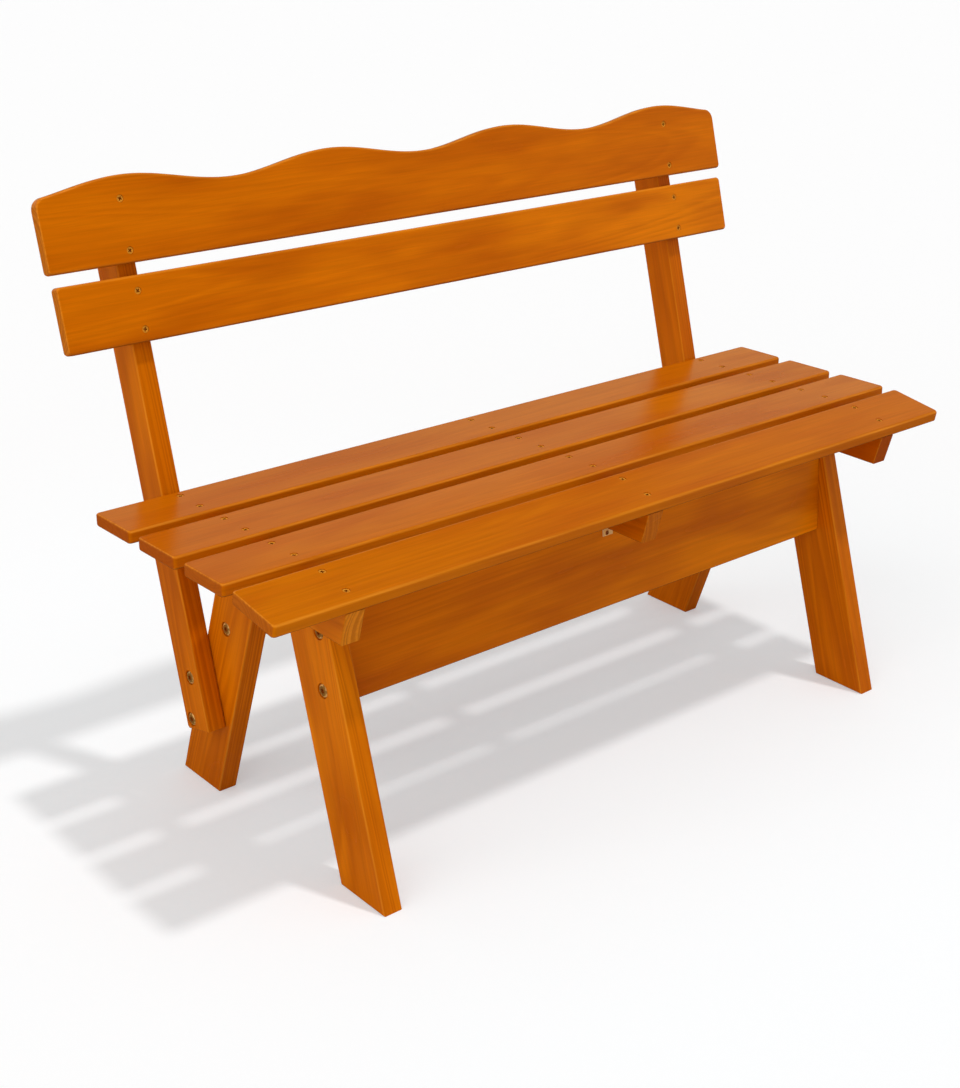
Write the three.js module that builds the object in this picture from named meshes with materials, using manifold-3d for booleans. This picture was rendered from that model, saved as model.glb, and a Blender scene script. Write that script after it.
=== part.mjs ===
// A fixed wooden garden bench with a back: a seat of four slats on three cross bearers, splayed legs,
// two long aprons between the legs, and two back boards on raked uprights.
// Sizes are in millimetres. +X runs along the bench, +Y to the rear and +Z up. The origin is on the
// floor, under the middle of the bench.

import * as THREE from 'three';
import { mergeVertices } from 'three/addons/utils/BufferGeometryUtils.js';
import Module from 'manifold-3d';

const wasm = await Module();
wasm.setup();

const degrees = THREE.MathUtils.degToRad;

// Seat
const SEAT_LENGTH = 1200;
const SEAT_HEIGHT = 430; // top of the seat at its crown, the ridge between the front slat and the rest
const SLAT_WIDTH = 85;
const SLAT_THICKNESS = 17;
const SLAT_GAP = 19;
const FLAT_SLATS = 3; // slats behind the crown
const SEAT_FALL = degrees(1.3); // the seat falls a little to the rear
const FRONT_FALL = degrees(9); // the front slat falls to the front

// Bearers, the cross pieces under the slats
const FRAME_THICKNESS = 28; // stock of the bearers, uprights and legs
const BEARER_HEIGHT = 57;
const END_OVERHANG = 100; // from the seat's end to the outer face of an end bearer
const NOSE_SETBACK = 2; // the bearer's front end stands back from the front slat's lower edge
const NOSE_CUT = degrees(14); // the front end is cut back towards its bottom

// Legs
const LEG_WIDTH = 85;
const LEG_SPLAY = degrees(18);
const LEG_GAP = 13; // between the tops of a side's two legs, under the seat
const LEG_GAP_BACK = 2; // the middle of that gap, behind the middle of the seat

// Aprons, the long boards between the legs
const APRON_HEIGHT = 120;
const APRON_THICKNESS = 17;
const APRON_SETBACK = 35; // from the leg's outer edge to the apron's outer face, at the apron's bottom
const APRON_LEAN = degrees(5.3); // both aprons lean in towards their tops

// Back
const BACK_RECLINE = degrees(16.3);
const UPRIGHT_DEPTH = 54;
const UPRIGHT_GAP = 9; // between the rear slat and the upright's front face
const UPRIGHT_CHAMFER = 3; // rear corner of the lower end
const LOWER_BOARD_INSET = 5; // its ends inside those of the seat
const LOWER_BOARD_LENGTH = SEAT_LENGTH - 2 * LOWER_BOARD_INSET;
const LOWER_BOARD_WIDTH = 85;
const LOWER_BOARD_START = 193; // up the back, from the top of the rear slat
const UPPER_BOARD_LENGTH = SEAT_LENGTH;
const UPPER_BOARD_WIDTH = 101; // from its bottom edge to the middle of its waves
const BACK_BOARD_THICKNESS = 17;
const BACK_BOARD_GAP = 15;
const WAVE_HEIGHT = 10; // a crest above the middle of the waves
const WAVE_PITCH = 318; // from crest to crest
const WAVE_STEPS = 12; // outline points in a pitch
const SHOULDER_RADIUS = 15; // top corners of the upper board
const UPRIGHT_HIDE = 2; // the upright's upper end, below the middle of the waves

// Eased edges
const EDGE_RADIUS = 4; // long arrises of every board
const CORNER_RADIUS = 5; // corners of the slats and back boards, seen from their faces
const EDGE_STEPS = 2;
const CORNER_STEPS = 2;

// Countersunk wood screws of the slats and back boards
const SCREW_DIAMETER = 4.5;
const SCREW_HEAD_DIAMETER = 9;
const SCREW_RIM = 0.5; // straight rim of the head
const SCREW_LENGTH = 40;
const SCREW_TIP = 6;
const SCREW_SINK = 1; // top of the head below the wood
const SCREW_SIDES = 8;
const SLAT_SCREW_REAR_INSET = 15;
const SLAT_SCREW_FRONT_INSET = 23;
const BACK_SCREW_LOW_INSET = 16; // above a back board's bottom edge
const BACK_SCREW_HIGH_INSET = 20; // below its top edge, or below the middle of its waves

// Connector bolts with flat socket heads
const BOLT_DIAMETER = 6;
const BOLT_HEAD_DIAMETER = 17;
const BOLT_HEAD_HEIGHT = 3;
const BOLT_HEAD_CHAMFER = 1;
const BOLT_SIDES = 12;
const SOCKET_WIDTH = 5; // across corners
const SOCKET_DEPTH = 2;
const HEX_SIDES = 6;
const COUNTERBORE_MARGIN = 1.5; // round the head
const NUT_WIDTH = 11.5; // across corners
const NUT_HEIGHT = 5;
const BOLT_PROUD = 2; // the shank's end past its nut
const DOWEL_DIAMETER = 10; // cross dowel nuts in the aprons
const DOWEL_DEPTH = 30; // from the apron's end to the cross dowel
const DOWEL_SKIN = 3; // wood left in front of the cross dowel
const DOWEL_RECESS = 0.5; // its end below the apron's inner face
const APRON_BOLT_INSET = 22; // from the apron's top and bottom edges
const UPRIGHT_BOLT_BACK = 10; // behind the middle of the upright's crossing with the rear leg
const UPRIGHT_BOLT_DROP = 7; // the lower bolt below that middle
const UPRIGHT_BOLT_RISE = 62; // the upper bolt above the lower one
const UPRIGHT_TAIL = 14; // length of the upright below its lower bolt

// Angle bracket between the front apron and the middle bearer
const BRACKET_WIDTH = 24;
const BRACKET_WING = 20;
const BRACKET_THICKNESS = 2;
const BRACKET_OFFSET = -4; // its middle, along the bench from the bearer's

// Clearances
const FIT = 0.3; // gap left between pieces that touch
const OVERRUN = 5; // of a cutter past the face that it cuts

// Finishes
const HONEY = '#c8700f';
const AMBER = '#b9610c';
const YELLOW_ZINC = '#c2a25a';
const BRIGHT_ZINC = '#b9b6ac';
const WOOD_METALNESS = 0;
const WOOD_ROUGHNESS = 0.4;
const METAL_METALNESS = 0.9;
const METAL_ROUGHNESS = 0.35;

const UP = degrees(90);
const SIDES = [['left', -1], ['right', 1]];

// Lines in the side plane, where x is the depth (+Y of the bench) and y the height

function line(point, angle) {
  return { point, along: new THREE.Vector2(Math.cos(angle), Math.sin(angle)) };
}

// The same line moved to its left by a distance, or to its right by a negative one.
function shifted(source, distance) {
  const left = new THREE.Vector2(-source.along.y, source.along.x);
  return { point: source.point.clone().addScaledVector(left, distance), along: source.along };
}

function meet(a, b) {
  const share = b.point.clone().sub(a.point).cross(b.along) / a.along.cross(b.along);
  return a.point.clone().addScaledVector(a.along, share);
}

// The corners of the outline whose sides lie on the given lines, in turn.
function corners(lines) {
  return lines.map((side, index) => meet(lines.at(index - 1), side));
}

// The side view of the bench

const crown = new THREE.Vector2(0, SEAT_HEIGHT);
const floor = line(new THREE.Vector2(), 0);
const seatTop = line(crown, -SEAT_FALL);
const frontTop = line(crown, FRONT_FALL);
const seatUnder = shifted(seatTop, -SLAT_THICKNESS - FIT);
const frontUnder = shifted(frontTop, -SLAT_THICKNESS - FIT);

const slatPitch = SLAT_WIDTH + SLAT_GAP;
const seatRearEdge = crown.clone().addScaledVector(seatTop.along, FLAT_SLATS * slatPitch);
const seatFrontEdge = crown.clone().addScaledVector(frontTop.along, -SLAT_WIDTH);

const bearerBottom = shifted(floor, SEAT_HEIGHT - SLAT_THICKNESS - FIT - BEARER_HEIGHT);
const noseTop = shifted(line(seatFrontEdge, FRONT_FALL + UP), -NOSE_SETBACK);
const bearerNose = line(meet(noseTop, frontUnder), UP + NOSE_CUT);

const uprightBase = seatRearEdge.clone().add(new THREE.Vector2(UPRIGHT_GAP, 0));
const uprightFront = line(uprightBase, UP - BACK_RECLINE);
const uprightRear = shifted(uprightFront, -UPRIGHT_DEPTH);
const upperBoardStart = LOWER_BOARD_START + LOWER_BOARD_WIDTH + BACK_BOARD_GAP;
const uprightRise = upperBoardStart + UPPER_BOARD_WIDTH - UPRIGHT_HIDE;
const uprightHead = shifted(line(uprightBase, -BACK_RECLINE), uprightRise);

const gapMiddle = (seatFrontEdge.x + seatRearEdge.x) / 2 + LEG_GAP_BACK;
const frontLegTop = meet(seatUnder, line(new THREE.Vector2(gapMiddle - LEG_GAP / 2, 0), UP));
const rearLegTop = meet(seatUnder, line(new THREE.Vector2(gapMiddle + LEG_GAP / 2, 0), UP));
const frontLegInner = line(frontLegTop, UP - LEG_SPLAY);
const frontLegOuter = shifted(frontLegInner, LEG_WIDTH);
const rearLegInner = line(rearLegTop, UP + LEG_SPLAY);
const rearLegOuter = shifted(rearLegInner, -LEG_WIDTH);

const crossing = meet(shifted(uprightFront, -UPRIGHT_DEPTH / 2), shifted(rearLegOuter, LEG_WIDTH / 2));
const lowUprightBolt = crossing.clone().add(new THREE.Vector2(UPRIGHT_BOLT_BACK, -UPRIGHT_BOLT_DROP));
const uprightFoot = shifted(line(lowUprightBolt, -BACK_RECLINE), -UPRIGHT_TAIL);

const apronFoot = shifted(bearerBottom, -FIT - APRON_HEIGHT * Math.cos(APRON_LEAN));

// Places along the bench

const bearerOuter = SEAT_LENGTH / 2 - END_OVERHANG;
const bearerInner = bearerOuter - FRAME_THICKNESS;
const legOuter = bearerInner - FIT;
const legInner = legOuter - FRAME_THICKNESS;
const apronHalf = legInner - FIT;
const bearerMiddle = bearerInner + FRAME_THICKNESS / 2;

// Solids

function toSolid(geometry) {
  const bare = geometry.clone();
  bare.deleteAttribute('normal');
  bare.deleteAttribute('uv');
  const merged = mergeVertices(bare);
  const faces = [];
  const index = merged.index.array;
  for (let at = 0; at < index.length; at += 3) {
    const face = [index[at], index[at + 1], index[at + 2]];
    if (new Set(face).size === face.length) {
      faces.push(...face);
    }
  }
  return new wasm.Manifold(new wasm.Mesh({
    numProp: 3,
    vertProperties: new Float32Array(merged.attributes.position.array),
    triVerts: new Uint32Array(faces),
  }));
}

function toGeometry(solid) {
  const mesh = solid.getMesh();
  const geometry = new THREE.BufferGeometry();
  geometry.setAttribute('position', new THREE.BufferAttribute(mesh.vertProperties, 3));
  geometry.setIndex(new THREE.BufferAttribute(mesh.triVerts, 1));
  geometry.computeVertexNormals();
  return geometry;
}

// Each mesh's solid in the mesh's own frame, kept until every hole is drilled.
const solids = new Map();

function addPiece(parent, name, solid, color, metalness, roughness) {
  const mesh = new THREE.Mesh();
  mesh.name = name;
  mesh.material = new THREE.MeshStandardMaterial({ color, metalness, roughness });
  solids.set(mesh, solid);
  parent.add(mesh);
  return mesh;
}

function addWood(parent, name, shape, thickness, color) {
  const geometry = new THREE.ExtrudeGeometry(shape, {
    depth: thickness - 2 * EDGE_RADIUS,
    curveSegments: CORNER_STEPS,
    bevelThickness: EDGE_RADIUS,
    bevelSize: EDGE_RADIUS,
    bevelOffset: -EDGE_RADIUS,
    bevelSegments: EDGE_STEPS,
  });
  geometry.translate(0, 0, EDGE_RADIUS);
  return addPiece(parent, name, toSolid(geometry), color, WOOD_METALNESS, WOOD_ROUGHNESS);
}

function addMetal(parent, name, solid, color) {
  return addPiece(parent, name, solid, color, METAL_METALNESS, METAL_ROUGHNESS);
}

// Cuts a tool, given in its holder's frame, out of a piece.
function cut(piece, holder, tool) {
  holder.updateWorldMatrix(true, false);
  piece.updateWorldMatrix(true, false);
  const toPiece = piece.matrixWorld.clone().invert().multiply(holder.matrixWorld);
  solids.set(piece, solids.get(piece).subtract(tool.transform(toPiece.elements)));
}

// A solid turned about its own Z axis, from radii and heights listed from the top down.
function turned(profile, sides) {
  const points = profile.map(([radius, height]) => new THREE.Vector2(radius, height)).reverse();
  return toSolid(new THREE.LatheGeometry(points, sides).rotateX(UP));
}

// Outlines

// A rectangle from its lower edge up, centred on x, with rounded corners.
function boardShape(length, width) {
  const half = length / 2;
  const shape = new THREE.Shape();
  shape.moveTo(-half + CORNER_RADIUS, 0);
  shape.lineTo(half - CORNER_RADIUS, 0);
  shape.quadraticCurveTo(half, 0, half, CORNER_RADIUS);
  shape.lineTo(half, width - CORNER_RADIUS);
  shape.quadraticCurveTo(half, width, half - CORNER_RADIUS, width);
  shape.lineTo(-half + CORNER_RADIUS, width);
  shape.quadraticCurveTo(-half, width, -half, width - CORNER_RADIUS);
  shape.lineTo(-half, CORNER_RADIUS);
  shape.quadraticCurveTo(-half, 0, -half + CORNER_RADIUS, 0);
  return shape;
}

// Height of the upper back board's wavy edge, with a hollow at its middle.
function waveAt(x) {
  return UPPER_BOARD_WIDTH - WAVE_HEIGHT * Math.cos(2 * Math.PI * x / WAVE_PITCH);
}

function wavyShape() {
  const half = UPPER_BOARD_LENGTH / 2;
  const last = half - SHOULDER_RADIUS;
  const shoulder = waveAt(last);
  const shape = new THREE.Shape();
  shape.moveTo(-half + CORNER_RADIUS, 0);
  shape.lineTo(half - CORNER_RADIUS, 0);
  shape.quadraticCurveTo(half, 0, half, CORNER_RADIUS);
  shape.lineTo(half, shoulder - SHOULDER_RADIUS);
  shape.quadraticCurveTo(half, shoulder, last, shoulder);
  const steps = Math.round(2 * last / WAVE_PITCH * WAVE_STEPS);
  for (let step = 1; step < steps; step += 1) {
    const x = last - 2 * last * step / steps;
    shape.lineTo(x, waveAt(x));
  }
  shape.lineTo(-last, shoulder);
  shape.quadraticCurveTo(-half, shoulder, -half, shoulder - SHOULDER_RADIUS);
  shape.lineTo(-half, CORNER_RADIUS);
  shape.quadraticCurveTo(-half, 0, -half + CORNER_RADIUS, 0);
  return shape;
}

// Fasteners. Each points down its own Z axis, with its head's top at the wood's face or sunk below it.

function screwSolid() {
  const head = SCREW_HEAD_DIAMETER / 2;
  const shank = SCREW_DIAMETER / 2;
  const neck = -SCREW_SINK - SCREW_RIM - (head - shank);
  const end = -SCREW_SINK - SCREW_LENGTH;
  return turned([
    [0, -SCREW_SINK],
    [head, -SCREW_SINK],
    [head, -SCREW_SINK - SCREW_RIM],
    [shank, neck],
    [shank, end + SCREW_TIP],
    [0, end],
  ], SCREW_SIDES);
}

function screwHole() {
  const head = SCREW_HEAD_DIAMETER / 2 + FIT;
  const shank = SCREW_DIAMETER / 2 + FIT;
  const rim = -SCREW_SINK - SCREW_RIM - FIT;
  const end = -SCREW_SINK - SCREW_LENGTH - FIT;
  return turned([
    [0, OVERRUN],
    [head, OVERRUN],
    [head, rim],
    [shank, rim - (head - shank)],
    [shank, end],
    [0, end],
  ], SCREW_SIDES);
}

function boltSolid(length) {
  const head = BOLT_HEAD_DIAMETER / 2;
  const shank = BOLT_DIAMETER / 2;
  const blank = turned([
    [0, 0],
    [head - BOLT_HEAD_CHAMFER, 0],
    [head, -BOLT_HEAD_CHAMFER],
    [head, -BOLT_HEAD_HEIGHT],
    [shank, -BOLT_HEAD_HEIGHT],
    [shank, -length],
    [0, -length],
  ], BOLT_SIDES);
  const socket = turned([
    [0, OVERRUN],
    [SOCKET_WIDTH / 2, OVERRUN],
    [SOCKET_WIDTH / 2, -SOCKET_DEPTH],
    [0, -SOCKET_DEPTH],
  ], HEX_SIDES);
  return blank.subtract(socket);
}

function boltHole(length) {
  const bore = BOLT_HEAD_DIAMETER / 2 + COUNTERBORE_MARGIN;
  const shank = BOLT_DIAMETER / 2 + FIT;
  const seat = -BOLT_HEAD_HEIGHT - FIT;
  return turned([
    [0, OVERRUN],
    [bore, OVERRUN],
    [bore, seat],
    [shank, seat],
    [shank, -length - FIT],
    [0, -length - FIT],
  ], BOLT_SIDES);
}

function addScrew(parent, name, x, y, z, pieces) {
  const screw = addMetal(parent, name, screwSolid(), YELLOW_ZINC);
  screw.position.set(x, y, z);
  for (const piece of pieces) {
    cut(piece, screw, screwHole());
  }
}

// The bench is put together in groups that stand on the floor, with the crown above y = 0.

const bench = new THREE.Group();
bench.name = 'garden_bench';

// The cross frames lie in the side plane: their own x is the depth and y the height, and z runs along
// the bench.
const crossFrames = new THREE.Group();
crossFrames.rotation.set(UP, 0, UP, 'ZYX');
bench.add(crossFrames);

function addCrossPiece(name, lines, middle, color) {
  const piece = addWood(crossFrames, name, new THREE.Shape(corners(lines)), FRAME_THICKNESS, color);
  piece.position.z = middle - FRAME_THICKNESS / 2;
  return piece;
}

const bearerLines = [
  shifted(uprightFront, FIT),
  seatUnder,
  frontUnder,
  bearerNose,
  bearerBottom,
];
const bearers = { middle: addCrossPiece('seat_bearer_middle', bearerLines, 0, AMBER) };
const uprights = {};
const frontLegs = {};
const rearLegs = {};

const chamferStart = meet(uprightFoot, shifted(uprightRear, UPRIGHT_CHAMFER));
const uprightLines = [
  uprightFoot,
  line(chamferStart, UP / 2 - BACK_RECLINE),
  uprightRear,
  uprightHead,
  uprightFront,
];

for (const [side, sign] of SIDES) {
  const outerLayer = sign * bearerMiddle;
  const innerLayer = sign * (legInner + FRAME_THICKNESS / 2);
  bearers[side] = addCrossPiece(`seat_bearer_${side}`, bearerLines, outerLayer, AMBER);
  uprights[side] = addCrossPiece(`back_upright_${side}`, uprightLines, outerLayer, HONEY);
  frontLegs[side] = addCrossPiece(
    `leg_front_${side}`,
    [floor, frontLegInner, seatUnder, frontLegOuter],
    innerLayer,
    AMBER,
  );
  rearLegs[side] = addCrossPiece(
    `leg_rear_${side}`,
    [floor, rearLegOuter, seatUnder, rearLegInner],
    innerLayer,
    AMBER,
  );
}

// Seat: each slat's own x runs along the bench, y to the rear and z up from its top face.

const flatSeat = new THREE.Group();
flatSeat.position.set(0, crown.x, crown.y);
flatSeat.rotation.x = -SEAT_FALL;
const frontSeat = new THREE.Group();
frontSeat.position.copy(flatSeat.position);
frontSeat.rotation.x = FRONT_FALL;
bench.add(flatSeat, frontSeat);

const slatScrewRows = [
  ['front', SLAT_SCREW_FRONT_INSET],
  ['rear', SLAT_WIDTH - SLAT_SCREW_REAR_INSET],
];

function addSlat(group, number, frontEdge) {
  const shape = boardShape(SEAT_LENGTH, SLAT_WIDTH);
  const slat = addWood(group, `seat_slat_${number}`, shape, SLAT_THICKNESS, HONEY);
  slat.position.set(0, frontEdge, -SLAT_THICKNESS);
  for (const [side, sign] of [['middle', 0], ...SIDES]) {
    for (const [row, inset] of slatScrewRows) {
      const name = `seat_screw_${number}_${side}_${row}`;
      addScrew(group, name, sign * bearerMiddle, frontEdge + inset, 0, [slat, bearers[side]]);
    }
  }
}

addSlat(frontSeat, 1, -SLAT_WIDTH);
for (let slat = 0; slat < FLAT_SLATS; slat += 1) {
  addSlat(flatSeat, slat + 2, SLAT_GAP + slat * slatPitch);
}

// Back: its own y runs up the uprights' front faces and z out of them, to the front.

const back = new THREE.Group();
back.position.set(0, uprightBase.x, uprightBase.y);
back.rotation.x = UP - BACK_RECLINE;
bench.add(back);

function addBackBoard(name, shape, width, start) {
  const board = addWood(back, `back_board_${name}`, shape, BACK_BOARD_THICKNESS, HONEY);
  board.position.set(0, start, FIT);
  const screwRows = [['bottom', BACK_SCREW_LOW_INSET], ['top', width - BACK_SCREW_HIGH_INSET]];
  for (const [side, sign] of SIDES) {
    for (const [row, inset] of screwRows) {
      const screwName = `back_screw_${name}_${side}_${row}`;
      const face = FIT + BACK_BOARD_THICKNESS;
      addScrew(back, screwName, sign * bearerMiddle, start + inset, face, [board, uprights[side]]);
    }
  }
}

const lowerBoardShape = boardShape(LOWER_BOARD_LENGTH, LOWER_BOARD_WIDTH);
addBackBoard('lower', lowerBoardShape, LOWER_BOARD_WIDTH, LOWER_BOARD_START);
addBackBoard('upper', wavyShape(), UPPER_BOARD_WIDTH, upperBoardStart);

// Aprons: an apron's own y runs up the board and z out of its outer face. The rear one is turned round.

function addApron(name, legs, outerEdge, turn, boltRows) {
  const facing = Math.cos(turn);
  const foot = meet(apronFoot, outerEdge);
  const group = new THREE.Group();
  group.position.set(0, foot.x + facing * APRON_SETBACK, foot.y);
  group.rotation.set(UP - APRON_LEAN, 0, turn, 'ZYX');
  bench.add(group);

  const shape = new THREE.Shape([
    new THREE.Vector2(-apronHalf, 0),
    new THREE.Vector2(apronHalf, 0),
    new THREE.Vector2(apronHalf, APRON_HEIGHT),
    new THREE.Vector2(-apronHalf, APRON_HEIGHT),
  ]);
  const apron = addWood(group, `apron_${name}`, shape, APRON_THICKNESS, AMBER);
  apron.position.z = -APRON_THICKNESS;

  const length = legOuter - apronHalf + DOWEL_DEPTH + DOWEL_DIAMETER / 2 + BOLT_PROUD;
  for (const [side, sign] of SIDES) {
    for (const [row, height] of boltRows) {
      const boltName = `apron_bolt_${name}_${side}_${row}`;
      addApronBolt(group, boltName, facing * sign, height, length, legs[side], apron);
    }
  }
}

// A bolt through a leg into the cross dowel that it is screwed into, as one solid.
function addApronBolt(group, name, sign, height, length, leg, apron) {
  const axis = -APRON_THICKNESS / 2;
  const dowelStart = -APRON_THICKNESS + DOWEL_RECESS;
  const dowelEnd = -DOWEL_SKIN - FIT;
  const dowelRadius = DOWEL_DIAMETER / 2;
  const holder = new THREE.Group();
  holder.position.set(sign * (apronHalf - DOWEL_DEPTH), height, 0);
  group.add(holder);
  const socket = turned([
    [0, dowelEnd + FIT],
    [dowelRadius + FIT, dowelEnd + FIT],
    [dowelRadius + FIT, -APRON_THICKNESS - OVERRUN],
    [0, -APRON_THICKNESS - OVERRUN],
  ], BOLT_SIDES);
  const dowel = turned([
    [0, dowelEnd],
    [dowelRadius, dowelEnd],
    [dowelRadius, dowelStart],
    [0, dowelStart],
  ], BOLT_SIDES);

  const bolt = addMetal(group, name, boltSolid(length), YELLOW_ZINC);
  bolt.position.set(sign * legOuter, height, axis);
  bolt.rotation.y = sign * UP;
  cut(leg, bolt, boltHole(length));
  cut(apron, bolt, boltHole(length));
  cut(apron, holder, socket);
  bolt.updateWorldMatrix(true, false);
  holder.updateWorldMatrix(true, false);
  const toBolt = bolt.matrixWorld.clone().invert().multiply(holder.matrixWorld);
  solids.set(bolt, solids.get(bolt).add(dowel.transform(toBolt.elements)));
}

const lowBoltRow = ['lower', APRON_BOLT_INSET];
const highBoltRow = ['upper', APRON_HEIGHT - APRON_BOLT_INSET];
addApron('front', frontLegs, frontLegOuter, 0, [lowBoltRow, highBoltRow]);
addApron('rear', rearLegs, rearLegOuter, Math.PI, [lowBoltRow]);

// Angle bracket in the corner between the front apron's face and the underside of the middle bearer

const apronFace = line(
  meet(apronFoot, frontLegOuter).add(new THREE.Vector2(APRON_SETBACK, 0)),
  UP - APRON_LEAN,
);
const bracketOutline = corners([
  shifted(apronFace, FIT),
  shifted(bearerBottom, -FIT),
  shifted(apronFace, FIT + BRACKET_WING),
  shifted(bearerBottom, -FIT - BRACKET_THICKNESS),
  shifted(apronFace, FIT + BRACKET_THICKNESS),
  shifted(bearerBottom, -FIT - BRACKET_WING),
]);
const bracketGeometry = new THREE.ExtrudeGeometry(new THREE.Shape(bracketOutline), {
  depth: BRACKET_WIDTH,
  bevelEnabled: false,
});
const bracket = addMetal(crossFrames, 'bearer_bracket', toSolid(bracketGeometry), BRIGHT_ZINC);
bracket.position.z = BRACKET_OFFSET - BRACKET_WIDTH / 2;

// Bolts through the uprights and the rear legs, each with its nut as one solid

const nutSeat = bearerOuter - legInner + FIT;

function boltWithNut() {
  const nut = turned([
    [0, -nutSeat],
    [NUT_WIDTH / 2, -nutSeat],
    [NUT_WIDTH / 2, -nutSeat - NUT_HEIGHT],
    [0, -nutSeat - NUT_HEIGHT],
  ], HEX_SIDES);
  return boltSolid(nutSeat + NUT_HEIGHT + BOLT_PROUD).add(nut);
}

for (const [side, sign] of SIDES) {
  for (const [row, rise] of [['lower', 0], ['upper', UPRIGHT_BOLT_RISE]]) {
    const name = `upright_bolt_${side}_${row}`;
    const bolt = addMetal(bench, name, boltWithNut(), YELLOW_ZINC);
    bolt.position.set(sign * bearerOuter, lowUprightBolt.x, lowUprightBolt.y + rise);
    bolt.rotation.y = sign * UP;
    for (const piece of [uprights[side], rearLegs[side]]) {
      cut(piece, bolt, boltHole(nutSeat + OVERRUN));
    }
  }
}

for (const [mesh, solid] of solids) {
  mesh.geometry = toGeometry(solid);
}

// The origin goes under the middle of the bench.
const box = new THREE.Box3().setFromObject(bench, true);
const centre = box.getCenter(new THREE.Vector3());
bench.position.set(-centre.x, -centre.y, -box.min.z);

export default bench;
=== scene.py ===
"""A fixed garden bench of stained and varnished pine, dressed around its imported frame.

Every board, screw and bolt takes its size and place from the frame's own pieces. Lengths are in metres.
"""

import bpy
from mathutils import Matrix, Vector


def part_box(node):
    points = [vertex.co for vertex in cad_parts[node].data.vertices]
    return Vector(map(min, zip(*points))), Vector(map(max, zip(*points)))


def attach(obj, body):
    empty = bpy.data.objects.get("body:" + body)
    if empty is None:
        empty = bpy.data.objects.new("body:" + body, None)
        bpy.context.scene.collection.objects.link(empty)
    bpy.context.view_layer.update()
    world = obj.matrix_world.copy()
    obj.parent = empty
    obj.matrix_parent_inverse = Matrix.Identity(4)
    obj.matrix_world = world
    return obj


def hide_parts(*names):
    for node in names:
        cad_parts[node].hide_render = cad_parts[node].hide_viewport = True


bl_info = {
    "name": "Garden bench",
    "version": (1, 0, 0),
    "blender": (4, 5, 0),
    "location": "3D View > Sidebar > Bench",
    "description": "Makes a varnished pine garden bench with its screws, bolts and studio",
    "category": "Add Mesh",
}

import math
import random

import bmesh
import bpy
import numpy as np
from mathutils import Matrix, Vector
from mathutils.geometry import convex_hull_2d

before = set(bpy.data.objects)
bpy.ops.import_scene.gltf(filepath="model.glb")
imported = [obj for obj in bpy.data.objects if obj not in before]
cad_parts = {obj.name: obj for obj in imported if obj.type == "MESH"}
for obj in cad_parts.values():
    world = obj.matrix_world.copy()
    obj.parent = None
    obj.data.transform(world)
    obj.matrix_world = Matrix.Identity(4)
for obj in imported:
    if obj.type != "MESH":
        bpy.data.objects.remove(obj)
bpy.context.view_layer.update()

MM = 0.001
BODY = "root"
WOOD_SLOT = "stained_pine"
BRASS_SLOT = "yellow_zinc"
STEEL_SLOT = "bright_zinc"

UP = Vector((0, 0, 1))
ALONG = Vector((1, 0, 0))
FRONT = Vector((0, -1, 0))
REAR = Vector((0, 1, 0))
SIDES = ("left", "right")

# Kinds of node that recur
MATH = "ShaderNodeMath"
VECTOR_MATH = "ShaderNodeVectorMath"
MAP_RANGE = "ShaderNodeMapRange"
MIX = "ShaderNodeMix"
NOISE = "ShaderNodeTexNoise"
ATTRIBUTE = "ShaderNodeAttribute"
SEPARATE = "ShaderNodeSeparateXYZ"
COMBINE = "ShaderNodeCombineXYZ"
COMPARE = "FunctionNodeCompare"
SWITCH = "GeometryNodeSwitch"


def linear(hex_colour):
    """The linear values of an sRGB hex colour such as #c8700f."""
    channels = [int(hex_colour[at:at + 2], 16) / 255 for at in (1, 3, 5)]
    return tuple(c / 12.92 if c <= 0.04045 else ((c + 0.055) / 1.055) ** 2.4 for c in channels)


def length_property(name, description, millimetres):
    return bpy.props.FloatProperty(
        name=name,
        description=description,
        default=millimetres * MM,
        min=0,
        precision=5,
        subtype="DISTANCE",
        unit="LENGTH",
    )


def colour_property(name, description, hex_colour):
    return bpy.props.FloatVectorProperty(
        name=name,
        description=description,
        default=linear(hex_colour),
        min=0,
        max=1,
        size=3,
        subtype="COLOR",
    )


def share_property(name, description, share):
    return bpy.props.FloatProperty(name=name, description=description, default=share, min=0, subtype="FACTOR")


class BenchWoodSizes(bpy.types.PropertyGroup):
    """Sizes of the boards that the frame doesn't give."""

    long_arris: length_property("Long arris", "Rounding of the slats' and back boards' long edges", 4)
    frame_arris: length_property("Frame arris", "Rounding of the long edges of the other boards", 3)
    end_arris: length_property("End arris", "Easing of the edges round a board's sawn ends", 1.6)
    corner: length_property("Corner", "Corner radius of slats and back boards, seen from their faces", 5)
    shoulder: length_property("Shoulder", "Radius of the top corners of the wavy board", 15)
    wave_height: length_property("Wave height", "A crest above the middle of the waves", 10)
    wave_pitch: length_property("Wave pitch", "From one crest to the next", 318)


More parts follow.
